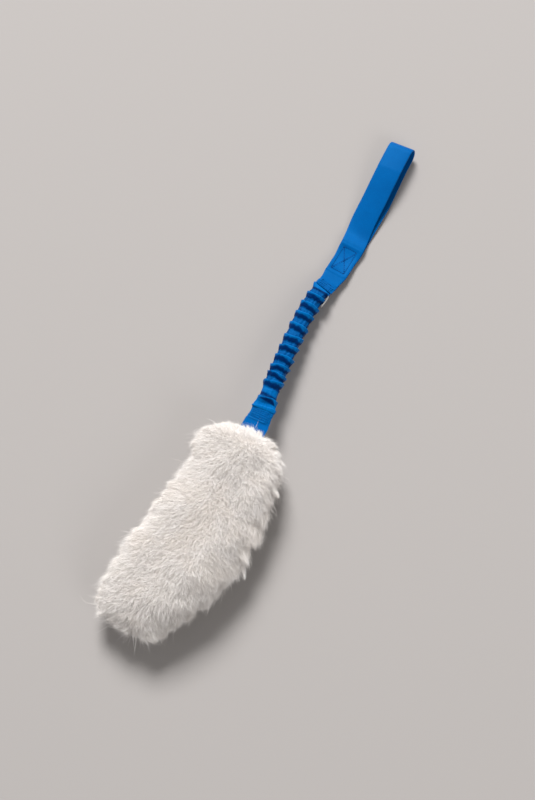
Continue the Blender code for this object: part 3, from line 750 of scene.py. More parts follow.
# %% Painted shade and highlight for the ruffles
def sleeve_rise(point):
    """0 in the hollows and 1 on a crest, on the flat ends and in the gap; it places the painted
    shade and highlight.
    """
    off = point - strap_middle(point.y)
    across, up = off.dot(strap_side(point.y)) / CREST_HALF_WIDTH, off.z / CREST_HALF_HEIGHT
    hollow = 0.56 + 0.24 * (across / max(math.hypot(across, up), 0.01)) ** 2
    gap = 0.92 * math.exp(-(((point.y - SMOOTH_GAP) / (5.5 * MM)) ** 4))
    crest = (math.hypot(across, up) - hollow) / (0.97 - hollow)
    return min(max(crest, 1.7 * (1.0 - opening(point.y)), gap, 0.0), 1.0)


mark_rise(sleeve, sleeve_rise)
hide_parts("bungee_sleeve")
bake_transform(sleeve)
print("sleeve:", len(sleeve.data.polygons), "faces,", len(RUFFLES), "ruffles")

# %% [markdown]
# ## The elastic core
#
# A thick rubber core runs through the sleeve. It is hidden at rest, but a joint pulls the bungee
# out, so it is one smooth rubber rod that lengthens together with the sleeve.

# %% Roll the core
CORE_RADIUS = 4.5 * MM
CORE_FLAT = (7.5 * MM, 0.6 * MM)  # half width and half height where the core is sewn in
rubber_look, tree, shader, mask = mottled(
    "elastic_rubber", 0.75, (0.08, 0.08, 0.085), (0.055, 0.055, 0.06), 90.0, 0.8)
bumped(tree, shader, mask, 0.15 * MM)


def core_place(share, turn):
    """The core: flat where it is sewn in, round between."""
    start, end = SLEEVE_START + 1.5 * MM, SLEEVE_END - 1.5 * MM
    y = start + (end - start) * share
    swell = float(smooth((y - start - 9 * MM) / (9 * MM)) * smooth((end - 9 * MM - y) / (9 * MM)))
    c, s = squared(turn, 4.0 - 2.0 * swell)
    w, h = (flat + (CORE_RADIUS - flat) * swell for flat in CORE_FLAT)
    point = strap_middle(y) + strap_side(y) * (c * w) + Vector((0, 0, s * h))
    return point, turn * 2.8, share * 15


core = rolled("rubber_core", core_place, 60, 24, rubber_look, CUT)
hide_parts("elastic_core")
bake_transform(core)
print("core:", len(core.data.polygons), "faces")

# %% [markdown]
# ## The strap at the mouth
#
# The webbing comes out of the wool and goes under the flat end of the sleeve, which is sewn to it
# by a few rows of stitches. It folds up at the mouth and swings sideways there, which are two
# joints, and a piece can bend across one joint only. So the strap folds, the sewn end swings, and
# the place where one covers the other is the real edge of the sleeve.

# %% Strap and sewn end
INTO_WOOL = 96 * MM  # the strap starts hidden in the wool
SEWN_START, SEWN_STOP = 123.3 * MM, 139.0 * MM
UNDER_END = 3.5 * MM  # how far the strap goes on under the sewn end
SEWN_HALF_WIDTH = 11.3 * MM


def strap_place(share, turn):
    """The plain strap, level in the wool and along its route beyond it."""
    y = INTO_WOOL + (SEWN_START + UNDER_END - INTO_WOOL) * share
    across, up = squared(turn, 7.0)
    middle = strap_middle(max(y, FOLD_Y))
    sag = 0.0 if y > FOLD_Y else (FOLD_Y - y) * 0.02
    point = Vector((middle.x, y, middle.z - sag))
    point += strap_side(max(y, FOLD_Y)) * (across * 11.9 * MM)
    point.z += up * STRAP_THICKNESS / 2 * 0.9 - 0.5 * MM * across * across
    return point, across * 1.19, y * 100


neck = rolled("mouth_webbing", strap_place, 90, 32, webbing_look)
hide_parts("neck_strap")
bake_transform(neck)

LOWER_ROWS = [125.2 * MM, 127.3 * MM, 129.4 * MM, 131.4 * MM, 133.4 * MM]


def sewn_surface(y, across, up):
    """The flat sewn end of the sleeve: it covers the strap, and its rows of stitches dip."""
    share = (y - SEWN_START) / (SEWN_STOP - SEWN_START)
    middle, side = strap_middle(y), strap_side(y)
    width = SEWN_HALF_WIDTH + 0.5 * MM * noise.noise(Vector((across * 0.6, y * 300, 1.7)))
    tall = (1.7 + 0.9 * float(smooth(share * 1.6))) * MM
    if up > 0:
        for row in LOWER_ROWS:
            tall -= 0.42 * MM * math.exp(-(((y - row) / (0.5 * MM)) ** 2))
        tall += 0.85 * MM * noise.noise(Vector((across * 3.2, y * 260, 4.2)))
    return middle + side * (across * width) + Vector((0, 0, up * tall - 0.6 * MM * across * across))


def sewn_place(share, turn):
    """The sewn end as a skin."""
    y = SEWN_START + (SEWN_STOP - SEWN_START) * share
    across, up = squared(turn, 4.5)
    return sewn_surface(y, across, up), across * 1.15, y * 100


sewn_end = rolled("sewn_sleeve_end", sewn_place, 110, 44, sleeve_look)
# The flat sewn end takes one even value of the ruffles' ramp, with no painted shade varying across
# it.
mark_rise(sewn_end, lambda point: 0.88)
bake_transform(sewn_end)
print("mouth:", len(neck.data.polygons) + len(sewn_end.data.polygons), "faces")

# %% [markdown]
# ## Stitches
#
# A bar tack is a dense zigzag, and the box with its cross is a row of single stitches. Each stitch
# is a short thread that comes out of the cloth, lies on it and goes in again. It is a ball of 36
# faces, drawn out along the thread and bowed, because hundreds of stitches show and each is
# hardly a pixel wide.

# %% Thread material and the single stitch
def twisted(tree, shader, scale, depth, **values):
    """The twist of a thread, as relief."""
    twist = texture(tree, "Wave", Scale=scale, **values)
    bumped(tree, shader, twist.outputs["Fac"], depth)


thread_look, tree, shader, mask = mottled(
    "blue_thread", 0.6, (0.0008, 0.075, 0.300), (0.0006, 0.050, 0.220), 400.0, 0.9)
set_shader(shader, 0.1)
twisted(tree, shader, 900.0, 0.08 * MM, Distortion=0.6)
roughened(tree, shader, mask, 0.2, 0.42)

tack_look = thread_look.copy()
tack_look.name = "blue_tack_thread"
for node in tack_look.node_tree.nodes:
    if node.type == "GROUP":
        node.inputs["Colour"].default_value = (0.0005, 0.128, 0.430, 1.0)
        node.inputs["Deep"].default_value = (0.0004, 0.085, 0.310, 1.0)


# %% The single stitch
BOW = 0.22 * MM  # how far a stitch stands up in its middle


def sew(name, pairs, width, look):
    """One stitch from each first point to its second, bowed up along its normal."""
    form = bmesh.new()
    for start, end, normal in pairs:
        along = end - start
        made = bmesh.ops.create_uvsphere(form, u_segments=6, v_segments=6, radius=0.5)["verts"]
        frame_x = along.normalized()
        frame_y = normal.cross(frame_x).normalized()
        frame_z = frame_x.cross(frame_y)
        for vert in made:
            s = vert.co.z
            bow = frame_z * (BOW * (1 - 4 * s * s))
            across, up = frame_y * (vert.co.x * width), frame_z * (vert.co.y * width * 0.8)
            vert.co = start + along * (s + 0.5) + bow + across + up
    bmesh.ops.recalc_face_normals(form, faces=form.faces)
    return from_form(name, form, look)


# %% The box and its cross
def on_top(y, x_off, lift):
    """A point of the loop's top face at Y, off its middle, lifted by the thread's own height."""
    run = float(np.interp(y, loop_path[:160, 0], loop_run[:160]))
    width = (handle_point(y, 0, 1.0) - handle_point(y, 0, 0.0)).x
    return loop_surface(run, 0.5 + x_off / width, 1.0) + UP * lift


def face_point(x_off, y_off):
    """A point on the top face, off the middle of the box."""
    return on_top(BOX_MIDDLE_Y + y_off, x_off + BOX_SHIFT, 0.22 * MM)


def stitches_along(a, b, pitch=2.1 * MM, share=0.78):
    """Stitches from a to b: their pitch, and the share of it that shows."""
    length = math.hypot(b[0] - a[0], b[1] - a[1])
    count = max(int(round(length / pitch)), 1)
    found = []
    for k in range(count):
        ends = (k + 0.5 - share / 2) / count, (k + 0.5 + share / 2) / count
        p0, p1 = (face_point(a[0] + (b[0] - a[0]) * t, a[1] + (b[1] - a[1]) * t) for t in ends)
        found.append((p0, p1, UP))
    return found


box_pairs = []
for a, b in BOX_LINES:
    box_pairs += stitches_along(a, b)
for (ax, ay), (bx, by) in BOX_LINES[4:]:  # the cross is sewn twice
    box_pairs += stitches_along((ax + 0.7 * MM, ay), (bx + 0.7 * MM, by))
box = sew("box_stitches", box_pairs, 0.62 * MM, thread_look)
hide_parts("box_stitch")
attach(box, "handle")
print("box:", len(box_pairs), "stitches")

# %% The bar tacks
TACK_PITCH, TACK_WIDTH, TACK_LIFT = 0.95 * MM, 0.55 * MM, 0.05 * MM


def zigzag(rows, half, at, reach, pitch=TACK_PITCH):
    """Stitches to and fro over each row; at(x, y) is a point of the cloth."""
    found = []
    for row in rows:
        count = int(round(2 * half / pitch))
        for k in range(count):
            x0 = -half + 2 * half * k / count
            x1 = x0 + pitch
            sign = 1 if k % 2 else -1
            found.append((at(x0, row - sign * reach), at(x1, row + sign * reach), UP))
    return found


def tongue_at(x_off, y):
    """A point on the tongue that the loop lays over the sleeve."""
    return on_top(y, x_off, TACK_LIFT)


upper_pairs = zigzag(TACK_ROWS, 7.6 * MM, tongue_at, 0.45 * MM)
tack = sew("upper_tack_threads", upper_pairs, TACK_WIDTH, tack_look)
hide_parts("upper_bar_tack")
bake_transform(tack)


def sewn_at(x_off, y):
    """A point on the flat sewn end of the sleeve."""
    return sewn_surface(y, x_off / SEWN_HALF_WIDTH, 1.0) + UP * TACK_LIFT


lower_pairs = zigzag(LOWER_ROWS, 9.4 * MM, sewn_at, 0.4 * MM)
lower = sew("neck_stitches", lower_pairs, TACK_WIDTH, tack_look)
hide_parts("lower_bar_tack")
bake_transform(lower)
print("tacks:", len(tack.data.polygons) + len(lower.data.polygons), "faces")

# %% [markdown]
# ## The bare tab
#
# A short piece of white tape is folded and caught in the seam at the right edge. Nothing is
# printed on it. It is a thin strip bent over itself, with a soft fold, cut square at its ends.

# %% Fold the tab
TAB_MIDDLE_Y = SLEEVE_END - 7.5 * MM - 9.6 * MM
TAB_LENGTH, TAB_HEIGHT, TAB_PLY = 13 * MM, 6.4 * MM, 0.3 * MM
TAB_OUT, TAB_FOLD = 10.6 * MM, 0.15 * MM  # off the strap's middle, and half way between its plies


def tab_place(share, turn):
    """The strip, up one side of the fold and down the other."""
    side, middle = strap_side(TAB_MIDDLE_Y), strap_middle(TAB_MIDDLE_Y)
    along = UP.cross(side)
    s = share * 2 - 1
    out = TAB_FOLD * (1 if s > 0 else -1) * min(abs(s) * 6, 1.0)
    rise = TAB_HEIGHT / 2 - TAB_HEIGHT * abs(s)
    t, n = squared(turn, 8.0)
    wave = 0.25 * MM * math.sin(t * 2.3 + 0.6) * (0.4 + abs(s))
    point = middle + side * (TAB_OUT + out + wave + n * TAB_PLY / 2)
    point = point + along * (t * TAB_LENGTH / 2) + UP * (rise + 1.5 * MM)
    return point, t * TAB_LENGTH * 50, s * TAB_HEIGHT * 100


tab = rolled("bare_tab", tab_place, 48, 40, label_look, CUT)
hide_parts("blank_label")
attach(tab, "bungee_head")
print("tab:", len(tab.data.polygons), "faces")

# %% [markdown]
# ## The wool
#
# Sheepskin is leather with the wool still on it: thousands of fine fibres that stand up, lean
# outwards and stick together in locks. Blender's hair would look right but leaves no mesh behind,
# and a displaced lump has no fibres at its edge. So there is a soft lumpy bed under it, and on
# the bed lie 156,000 real tapered fibres that hide it.

# %% The outline of the wool, from the photograph
WOOL_EDGE = (  # Y, left edge and right edge in mm, tufts left out
    (-120.0, -30, -12),
    (-108.5, -46, 5),
    (-99.0, -52, 20),
    (-89.5, -56, 30),
    (-80.0, -58.5, 36),
    (-70.5, -59, 41),
    (-61.0, -58.5, 45),
    (-51.0, -58, 48.5),
    (-42.0, -58, 51.5),
    (-32.0, -57.5, 54),
    (-22.5, -56, 55.5),
    (-13.0, -54.5, 56.5),
    (-3.0, -53, 57),
    (6.5, -52, 57.5),
    (16.0, -51.5, 57),
    (26.0, -50.5, 56),
    (35.6, -49, 53.5),
    (45.4, -47.5, 52),
    (55.0, -46.5, 51),
    (65.0, -46.5, 49.5),
    (75.0, -47, 48.5),
    (84.6, -44.5, 48.5),
    (94.5, -42.5, 47),
    (104.0, -36, 42),
    (113.0, -27, 32),
    (119.5, -20, 22),
)
WOOL_MIDDLE = 31 * MM  # height of the middle of the wool
LOCK_DEPTH, LOCK_SIZE = 6 * MM, 33 * MM  # of the big locks, as in the frame
INSET = 10 * MM  # the bed lies this far inside the tips of the wool
BED_TAIL, BED_MOUTH = -105 * MM, 107.5 * MM
TAIL_ROUND, MOUTH_ROUND = 66 * MM, 22 * MM
TAIL_FROM, MOUTH_FROM = -80 * MM, 92 * MM  # beyond these the wool is shaped by the toy's ends
HIDE_HALF_WIDTH, HIDE_MIDDLE_X = 33.5 * MM, -15.8 * MM  # what the bed covers at the tail
THIN = 0.8 * MM  # the least size of a section
left_stations = [(y * MM, left * MM) for y, left, right in WOOL_EDGE]
right_stations = [(y * MM, right * MM) for y, left, right in WOOL_EDGE]


def bed_section(y):
    """Middle X, half width, middle Z, height above it and depth below it, of the bed at Y."""
    from_tail = min(max((y - BED_TAIL) / TAIL_ROUND, 0.0), 1.0)
    from_mouth = min(max((BED_MOUTH - y) / MOUTH_ROUND, 0.0), 1.0)
    round_tail = (1 - (1 - from_tail) ** 2) ** 0.5
    round_mouth = (1 - (1 - from_mouth) ** 2) ** 0.5
    outward_y = y * 1.06
    left, right = through(left_stations, outward_y), through(right_stations, outward_y)
    closing = min(min((y - BED_TAIL) / (7 * MM), (BED_MOUTH - y) / (3 * MM)), 1.0)
    to_tail = float(smooth((TAIL_FROM - y) / (12 * MM)))  # here it follows the end of the hide
    to_mouth = float(smooth((y - 60 * MM) / (50 * MM)))
    half_w = max((right - left) / 2 - INSET + 4 * MM * to_mouth, 3 * MM)
    half_w = half_w * (1 - to_tail) + HIDE_HALF_WIDTH * to_tail
    half_w = half_w * (1 - (1 - max(closing, 0.0)) ** 2) ** 0.5
    above = (WOOL_MIDDLE - 3.5 * MM) * round_tail * round_mouth
    below = (WOOL_MIDDLE + 1 * MM) * round_tail * round_mouth
    middle_x = (left + right) / 2 * (1 - to_mouth) - 3.2 * MM * to_mouth
    middle_x = middle_x * (1 - to_tail) + HIDE_MIDDLE_X * to_tail
    middle_z = WOOL_MIDDLE - 3 * MM * (1 - float(smooth(from_tail)))
    return middle_x, max(half_w, THIN), middle_z, max(above, THIN), max(below, THIN)


# %% Roll the bed
def lock_hollow(angle, y):
    """How far the wool is drawn in between the big locks, as a share."""
    place = Vector((1.5 * math.cos(angle), math.sin(angle), y / LOCK_SIZE))
    return min(max(0.5 - 0.9 * noise.noise(place), 0.0), 1.0)


def bed_place(share, turn):
    """The bed's skin: its sections, swollen by small lumps and drawn in between the locks."""
    angle = math.pi * share
    y = (BED_TAIL + BED_MOUTH) / 2 - (BED_MOUTH - BED_TAIL) / 2 * math.cos(angle)
    middle_x, half_w, middle_z, above, below = bed_section(y)
    across, up = squared(turn, 2.4)
    tall = above if up > 0 else below
    point = Vector((middle_x + across * half_w, y, middle_z + up * tall))
    out = Vector((across * tall, 0.0, up * half_w)).normalized()
    swell = min(max((min(half_w, above) - 13 * MM) / (12 * MM), 0.0), 1.0)
    drawn_in = LOCK_DEPTH * lock_hollow(2 * math.pi * turn, y) * (0.35 + 0.65 * abs(up))
    lump = noise.noise(point * 80) * 1.2 * MM - drawn_in
    point += out * (lump * swell * min((y - BED_TAIL) / (30 * MM), 1.0))
    point.z = max(point.z, 1.2 * MM)
    return point, turn * 30, share * 24


wool_bed_look, bed_tree, bed_shader = new_material("white_wool_bed", 0.95)
bed = rolled("wool_bed", bed_place, 110, 80, wool_bed_look)
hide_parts("wool_pile")
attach(bed, "sheepskin")
print("bed:", [round(v / MM, 1) for v in bed.dimensions], "mm")

# %% [markdown]
# ### Where the fibres grow and which way they lean
#
# Roots are scattered over the bed by area, more on its flanks and round the tail, few low down
# and on its underside. A fibre starts along the bed's normal and bends outwards and towards the
# tail, because the skin is sewn with the wool lying that way. Then it sinks a little under its
# own weight.

# %% Scatter the roots
rng = np.random.default_rng(7)
PIECE_STRANDS = 19500
STRANDS = PIECE_STRANDS * 8
UNDERNEATH, ON_FLANKS, ROUND_TAIL = 0.12, 0.6, 1.7  # how much thinner or denser the wool grows
bed.data.calc_loop_triangles()
corner = np.empty(len(bed.data.loop_triangles) * 3, dtype=np.int32)
bed.data.loop_triangles.foreach_get("vertices", corner)
corner = corner.reshape(-1, 3)


def of_vertices(mesh, label):
    """One vector for each point of a mesh."""
    values = np.empty(len(mesh.vertices) * 3)
    mesh.vertices.foreach_get(label, values)
    return values.reshape(-1, 3)


bed_points, bed_normals = of_vertices(bed.data, "co"), of_vertices(bed.data, "normal")
tri = bed_points[corner]
tri_normal = np.cross(tri[:, 1] - tri[:, 0], tri[:, 2] - tri[:, 0])
tri_area = np.linalg.norm(tri_normal, axis=1) / 2
facing_up = tri_normal[:, 2] / np.maximum(2 * tri_area, 1e-12)
centre = tri.mean(axis=1)
underneath = (facing_up < -0.7) | (centre[:, 2] < 2 * MM)
weight = tri_area * np.where(underneath, UNDERNEATH, 1.0)
at_tail = smooth((TAIL_FROM - centre[:, 1]) / (16 * MM))
low_down = np.clip(centre[:, 2] / (20 * MM), 0.3, 1.0)
on_flank = np.abs(facing_up) < 0.5
weight *= (1.0 + ON_FLANKS * on_flank) * np.maximum(low_down, ROUND_TAIL * at_tail)
pick = rng.choice(len(weight), size=STRANDS, p=weight / weight.sum())
pick.sort()
u, v = rng.random(STRANDS), rng.random(STRANDS)
flip = u + v > 1
u[flip], v[flip] = 1 - u[flip], 1 - v[flip]


def inside(corners):
    """Between the three corners of each triangle picked."""
    w = 1 - u - v
    return corners[:, 0] * w[:, None] + corners[:, 1] * u[:, None] + corners[:, 2] * v[:, None]


roots = inside(tri[pick])
normals = inside(bed_normals[corner[pick]])
normals /= np.linalg.norm(normals, axis=1)[:, None]
order = rng.permutation(STRANDS)
roots, normals = roots[order], normals[order]
print("fibres:", STRANDS)

# %% Helpers for many fibres
STEPS = 2
AROUND = 6.28  # about a whole turn, in radians
BY_LARGE, BY_SMALL = 0.3, 0.35  # heights count for this share when a fibre picks its lock
FLATTER = [1.0, 1.0, BY_LARGE]


def nearest_leader(roots, leaders, height):
    """For each fibre, the leader whose root is nearest, heights counted for less."""
    seen = roots * np.array([1.0, 1.0, height])
    tree = KDTree(len(leaders))
    for k, lead in enumerate(leaders):
        tree.insert(seen[lead], k)
    tree.balance()
    return np.array([leaders[tree.find(place)[1]] for place in seen])


def unit(vectors):
    """The same directions, one long."""
    return vectors / np.maximum(np.linalg.norm(vectors, axis=-1, keepdims=True), 1e-9)


def slow_noise(points, scale, seed):
    """Smooth noise from -1 to 1 at many points, from a few seeded waves."""
    waves = np.random.default_rng(seed)
    total = np.zeros(len(points))
    for k in range(8):
        direction = waves.normal(size=3) * scale
        total += np.sin(points @ direction + waves.random() * AROUND)
    return total / 8 * 1.6


# %% Which way the wool lies
edge_y = [y for y, x in left_stations]
edges = [(a[1], b[1]) for a, b in zip(left_stations, right_stations)]
middle_x = np.interp(roots[:, 1], edge_y, [(left + right) / 2 for left, right in edges])
half_width = np.interp(roots[:, 1], edge_y, [(right - left) / 2 for left, right in edges])
outward = np.clip((roots[:, 0] - middle_x) / (half_width - INSET), -1, 1)
to_front = smooth((roots[:, 1] - MOUTH_FROM) / (14 * MM))
flow = [outward * (0.95 + 0.3 * to_front), -0.72 + 1.2 * to_front, np.zeros(STRANDS)]
flow = np.stack(flow, axis=1)
strength = np.clip(np.linalg.norm(flow, axis=1), 0.0, 0.8) / 0.8
flow[:, 0] += 0.25 * slow_noise(roots, 60, 11)
flow[:, 1] += 0.25 * slow_noise(roots, 60, 12)
flow -= normals * np.sum(flow * normals, axis=1)[:, None]
flow = unit(flow)
edge = np.clip(1.0 - np.abs(normals[:, 2]) * 1.2, 0, 1)

# %% How long each fibre is
LARGE_LOCKS = 200
LONG, STRAY = 1.3, 1.7  # some fibres are this many times longer
scatter = rng.normal(size=(STRANDS, 3)) * (0.48 - 0.18 * edge)[:, None]
few_long = rng.random(STRANDS) ** 8
length = 7.5 + 7 * rng.random(STRANDS) * (1.0 - 0.35 * edge)
length = (length + edge * (3.5 + 11 * few_long + 2 * outward)) * MM
large = rng.choice(STRANDS, size=LARGE_LOCKS, replace=False)
lock_of = nearest_leader(roots, large, height=BY_LARGE)
from_lock = np.linalg.norm((roots - roots[lock_of]) * FLATTER, axis=1) / (8 * MM)
of_its_lock = rng.uniform(-0.20, 0.30, STRANDS)[lock_of]
length *= 1.0 + edge * (of_its_lock + 0.32 - 0.65 * np.clip(from_lock, 0.0, 1.2))
long_ones = rng.random(STRANDS) < 0.05 * (0.1 + edge)
length[long_ones] *= LONG
length *= 1.0 - 0.46 * smooth((roots[:, 1] - MOUTH_FROM) / (12 * MM))
at_corner = 0.45 * smooth((roots[:, 0] + 2 * MM) / (14 * MM))  # the tail narrows
at_corner = at_corner + 0.40 * smooth((-32 * MM - roots[:, 0]) / (12 * MM))
length *= 1.0 - at_corner * smooth((TAIL_FROM - roots[:, 1]) / (12 * MM))
strays = rng.random(STRANDS) < 0.012 * edge * (1.0 + 2.0 * (roots[:, 1] > 80 * MM))
length[strays] *= STRAY

# %% Bend each fibre
ROOT_DEPTH, SAG = 1.0 * MM, 0.14
lean_start = (1.0 - 0.45 * edge) * strength
lean_end = (1.35 - 0.20 * edge) * (0.4 + 0.6 * strength)
curves = np.empty((STEPS + 1, STRANDS, 3))
curves[0] = roots - normals * ROOT_DEPTH
for step in range(STEPS):
    s = (step + 0.5) / STEPS
    lean = (lean_start + (lean_end - lean_start) * s)[:, None]
    heading = normals * np.cos(lean) + flow * np.sin(lean) + scatter * (0.5 + s)
    heading[:, 2] -= SAG * s * edge
    curves[step + 1] = curves[step] + unit(heading) * (length / STEPS)[:, None]
tips = curves[-1] / MM
print("tips reach", np.round(tips.min(0), 1), np.round(tips.max(0), 1))

# %% [markdown]
# ### Locks
#
# Wool grease and dirt make neighbouring fibres cling together towards their tips. Each fibre
# first leans over to the nearest of two hundred large locks, and then to the nearest of about
# seven hundred small ones. The edge then shows pointed tufts with notches between them, not an
# even brush.

# %% Gather the fibres into locks
def gather(curves, nearest, pull):
    """Move the fibres towards their leader, more at the tip than at the root."""
    amount = pull[nearest]
    for step in range(1, STEPS + 1):
        s = (step / STEPS) ** 1.4
        curves[step] += (curves[step, nearest] - curves[step]) * (amount * s)[:, None] * FLATTER


SMALL_LOCK = 220  # fibres
chance = 0.1 + few_long  # long fibres lead more often
small = rng.choice(STRANDS, size=STRANDS // SMALL_LOCK, replace=False, p=chance / chance.sum())
right_side = np.clip(0.8 + 0.5 * outward, 0.55, 1.0)
pull_large = 0.46 * edge * right_side * (1.0 - 0.7 * to_front)
pull_large = pull_large * (0.2 + 1.5 * rng.random(STRANDS))
pull_small = edge * (0.25 + 0.70 * rng.random(STRANDS)) + 0.05 * rng.normal(size=STRANDS)
pull_small = np.clip(pull_small, 0.0, 0.9)
gather(curves, lock_of, pull_large)
gather(curves, nearest_leader(roots, small, height=BY_SMALL), pull_small)
print("locks:", len(large), "large,", len(small), "small")

# %% Keep the tips in reach
PRESSED = 61 * MM  # tips that would stand higher are pressed down softly
LEFT_REACH, RIGHT_REACH = -64 * MM, 60 * MM  # and so are strays that would reach further out
LOWEST = 0.35 * MM


def eased(past, most):
    """A distance past a limit, made softly less, so that it never reaches the most."""
    return most * (1.0 - np.exp(-past / most))


curves[:, :, 2] = np.maximum(curves[:, :, 2], LOWEST)
over = np.maximum(curves[:, :, 2] - PRESSED, 0.0)
curves[:, :, 2] = np.minimum(curves[:, :, 2], PRESSED) + eased(over, 7 * MM)
beyond = curves[:, :, 0] - np.clip(curves[:, :, 0], LEFT_REACH, RIGHT_REACH)
curves[:, :, 0] += np.sign(beyond) * eased(np.abs(beyond), 4 * MM) - beyond

# %% Keep the fibres out of the strap
STRAP_X = -3.0 * MM
near_strap = (np.abs(curves[:, :, 0] - STRAP_X) < 14 * MM) & (curves[:, :, 1] > 98 * MM)
above = (roots[:, 2] > MOUTH_HEIGHT)[None, :]
height = curves[:, :, 2]
height = np.where(near_strap & above, np.maximum(height, MOUTH_HEIGHT + 1.4 * MM), height)
height = np.where(near_strap & ~above, np.minimum(height, MOUTH_HEIGHT - 1.6 * MM), height)
curves[:, :, 2] = height

# %% [markdown]
# ### One fibre, repeated
#
# The fibre is a three-sided cone cut into two lengths. An Array modifier repeats it, and then
# every copy is bent along its own curve in one go. The copies share one small layout on the map,
# a square each, so that the colours can be baked.

# %% Fibre template
def fibre_template():
    """One fibre, one long and upright, with its own small layout on the map."""
    form = bmesh.new()
    bmesh.ops.create_cone(form, cap_ends=True, segments=3, radius1=1.0, radius2=0.0, depth=1.0)
    for k in range(1, STEPS):
        everything = form.verts[:] + form.edges[:] + form.faces[:]
        cut_at = (0, 0, k / STEPS - 0.5)
        bmesh.ops.bisect_plane(form, geom=everything, plane_co=cut_at, plane_no=(0, 0, 1))
    bmesh.ops.remove_doubles(form, verts=form.verts, dist=0.001)
    cells = form.loops.layers.uv.new("OFBake")
    for face in form.faces:
        turns = [(math.atan2(c.vert.co.y, c.vert.co.x) / (2 * math.pi)) % 1.0 for c in face.loops]
        cap = all(c.vert.co.z < -0.49 for c in face.loops)
        for c, turn in zip(face.loops, turns):
            if max(turns) - min(turns) > 0.5 and turn < 0.5:
                turn += 1.0
            if cap:
                c[cells].uv = (0.5 + 0.4 * c.vert.co.x, 0.06 + 0.05 * c.vert.co.y)
            else:
                c[cells].uv = (0.06 + 0.88 * turn / 1.34, 0.16 + 0.78 * (c.vert.co.z + 0.5))
    mesh = bpy.data.meshes.new("fibre")
    form.to_mesh(mesh)
    form.free()
    return mesh


fibre = fibre_template()
triangles = sum(len(p.vertices) - 2 for p in fibre.polygons)
print("one fibre:", len(fibre.vertices), "points,", triangles, "triangles")


# %% Repeat and bend it
def repeated(mesh, count):
    """A mesh with count copies of another, made by an Array modifier."""
    carrier = new_object("carrier", mesh.copy())
    many = carrier.modifiers.new("many", "ARRAY")
    many.count = count
    many.use_relative_offset = False
    evaluated = carrier.evaluated_get(bpy.context.evaluated_depsgraph_get())
    made = bpy.data.meshes.new_from_object(evaluated)
    bpy.data.objects.remove(carrier, do_unlink=True)
    return made


template = np.array([v.co[:] for v in fibre.vertices])
row_of = np.rint((template[:, 2] + 0.5) * STEPS).astype(int)
row_turn = np.arctan2(template[:, 1], template[:, 0])
FIBRE_RADIUS = 0.145 * MM
thickness = FIBRE_RADIUS * (0.75 + 0.5 * rng.random(STRANDS)) * (1.0 - 0.25 * edge)
thick_at = np.array([1.0, 0.85, 0.0])  # at the root, half way and at the tip
fibre_tone = rng.random(STRANDS)


def attribute(mesh, name, values):
    """A number on each point, for the material."""
    mesh.attributes.new(name, "FLOAT", "POINT").data.foreach_set("value", values)


def share_out(mesh, count):
    """Give each copy its own square of the map."""
    across = int(math.ceil(math.sqrt(count)))
    layer = mesh.uv_layers["OFBake"]
    uv = np.empty(len(mesh.loops) * 2)
    layer.uv.foreach_get("vector", uv)
    uv = uv.reshape(count, -1, 2)
    cell = np.arange(count)
    uv[:, :, 0] = (uv[:, :, 0] + (cell % across)[:, None]) / across
    uv[:, :, 1] = (uv[:, :, 1] + (cell // across)[:, None]) / across
    layer.uv.foreach_set("vector", uv.reshape(-1))


def lay(name, chosen, look):
    """The fibres of one piece, bent along their curves."""
    count = len(chosen)
    mesh = repeated(fibre, count)
    path = curves[:, chosen]
    tangent = unit(np.gradient(path, axis=0))
    side = unit(np.cross(tangent, np.array([0.31, 0.23, 0.92])))
    other = np.cross(tangent, side)
    turned = rng.random(count) * AROUND
    points = np.empty((count, len(template), 3))
    for k in range(len(template)):
        row = row_of[k]
        angle = row_turn[k] + turned
        r = thickness[chosen] * thick_at[row]
        off = side[row] * (np.cos(angle) * r)[:, None] + other[row] * (np.sin(angle) * r)[:, None]
        points[:, k] = path[row] + off
    mesh.vertices.foreach_set("co", points.reshape(-1))
    attribute(mesh, "Along", np.tile(row_of / STEPS, count))
    attribute(mesh, "Tone", np.repeat(fibre_tone[chosen], len(template)))
    share_out(mesh, count)
    mesh.update()
    mesh.shade_flat()
    mesh.materials.clear()
    mesh.materials.append(look)
    piece = new_object(name, mesh)
    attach(piece, "sheepskin")


# %% [markdown]
# ### The look of wool
#
# The fibres are warm white, creamier at the root where the grease is, and each one differs a
# little. Large soft patches are a bit greyer or pinker. Wool is rough and scatters light, so
# there is sheen at a grazing angle and hardly any gloss.

# %% Wool materials
wool_tone, wool_in, wool_out = new_group(
    "Wool colour",
    [("Along", "NodeSocketFloat", 0.5), ("Tone", "NodeSocketFloat", 0.5)],
    [("Colour", "NodeSocketColor")],
)
length_colour = ramp(wool_tone, wool_in.outputs["Along"], [
    (0.0, (0.978, 0.925, 0.878)), (0.45, (0.993, 0.960, 0.935)), (1.0, (0.998, 0.967, 0.947))])
patch = texture(wool_tone, "Noise", Scale=26.0, Detail=2.0)
patch_colour = ramp(wool_tone, patch.outputs["Fac"], [
    (0.35, (0.992, 0.982, 0.968)), (0.52, (1.0, 1.0, 1.0)), (0.68, (0.99, 0.99, 0.985))])
single = ramp(wool_tone, wool_in.outputs["Tone"], [
    (0.0, (0.975, 0.962, 0.945)), (0.5, (0.995, 0.992, 0.988)), (1.0, (1.0, 1.0, 1.0))])
tinted = mix_colours(wool_tone, "MULTIPLY", 1.0, length_colour, patch_colour)
toned = mix_colours(wool_tone, "MULTIPLY", 1.0, tinted, single)
wool_tone.links.new(toned, wool_out.inputs["Colour"])

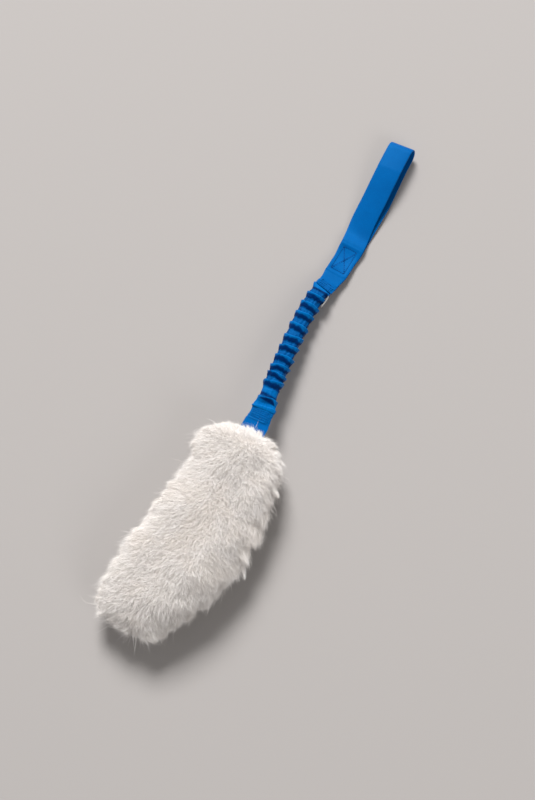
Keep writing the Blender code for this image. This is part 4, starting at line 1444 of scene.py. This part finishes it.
wool_look, tree, shader = new_material("white_wool", 0.85)
set_shader(shader, 0.2, Sheen_Weight=0.3, Sheen_Roughness=0.5)
colour = use_group(tree, wool_tone)
for label in ("Along", "Tone"):
    read = tree.nodes.new("ShaderNodeAttribute")
    read.attribute_name = label
    tree.links.new(read.outputs["Fac"], colour.inputs[label])
tree.links.new(colour.outputs["Colour"], shader.inputs["Base Color"])
roughened(tree, shader, read.outputs["Fac"], -0.15, 0.95)

colour = use_group(bed_tree, wool_tone, Along=0.8, Tone=0.8)
bed_tree.links.new(colour.outputs["Colour"], bed_shader.inputs["Base Color"])
felt = texture(bed_tree, "Noise", Scale=900.0, Detail=4.0)
bumped(bed_tree, bed_shader, felt.outputs["Fac"], 0.8 * MM)
roughened(bed_tree, bed_shader, felt.outputs["Fac"], 0.1, 0.88)

# %% Lay the fibres
PIECES = STRANDS // PIECE_STRANDS
for k in range(PIECES):
    lay(f"wool_locks_{k + 1}", np.arange(k, STRANDS, PIECES), wool_look)
bpy.data.meshes.remove(fibre)
print("wool pieces:", PIECES)

# %% [markdown]
# ## Inside
#
# The hide, the strap inside it and the threads that close it keep their solids, because they are
# hidden at rest. They still get their own finishes, so that a section through the toy reads well.

# %% Hide, inner strap and pale thread
hide_look, tree, shader, mask = mottled(
    "tanned_hide", 0.8, (0.72, 0.60, 0.46), (0.60, 0.47, 0.34), 40.0, 0.9)
pores = texture(tree, "Voronoi", Scale=900.0)
bumped(tree, shader, pores.outputs["Distance"], 0.15 * MM)
roughened(tree, shader, mask, 0.15, 0.75)

inner_look, tree, shader = new_material("inner_webbing", 0.5)
set_shader(shader, BLUE_GLOSS, Specular_Tint=BLUE_TINT)
at = tree.nodes.new("ShaderNodeTexCoord")
to_cm = tree.nodes.new("ShaderNodeMapping")
to_cm.inputs["Scale"].default_value = (100, 100, 100)
tree.links.new(at.outputs["Object"], to_cm.inputs["Vector"])
inner_weave = use_group(tree, weave, Yarns_per_cm=9.0, Picks_per_cm=12.0)
tree.links.new(to_cm.outputs["Vector"], inner_weave.inputs["Cloth"])
# Darker blue where the weave lies low: painted shade between the yarns.
inner_colour = ramp(tree, inner_weave.outputs["Height"], [(0.1, DEEP_BLUE), (0.7, BLUE)])
tree.links.new(inner_colour, shader.inputs["Base Color"])
bumped(tree, shader, inner_weave.outputs["Height"], 0.12 * MM)

pale_look, tree, shader, mask = mottled(
    "pale_thread", 0.7, (0.80, 0.77, 0.72), (0.66, 0.62, 0.55), 300.0, 0.8)
twisted(tree, shader, 700.0, 0.1 * MM)

INSIDE = {
    "sheepskin_hide": hide_look,
    "anchor_strap": inner_look,
    "side_seam_thread": pale_look,
    "mouth_seam_thread": pale_look,
    "tail_seam_thread": pale_look,
}
for node, look in INSIDE.items():
    item = bpy.data.objects[node]
    if not item.data.materials:
        item.data.materials.append(look)
    for k in range(len(item.data.materials)):
        item.data.materials[k] = look
print("finished inside:", len(INSIDE), "pieces")
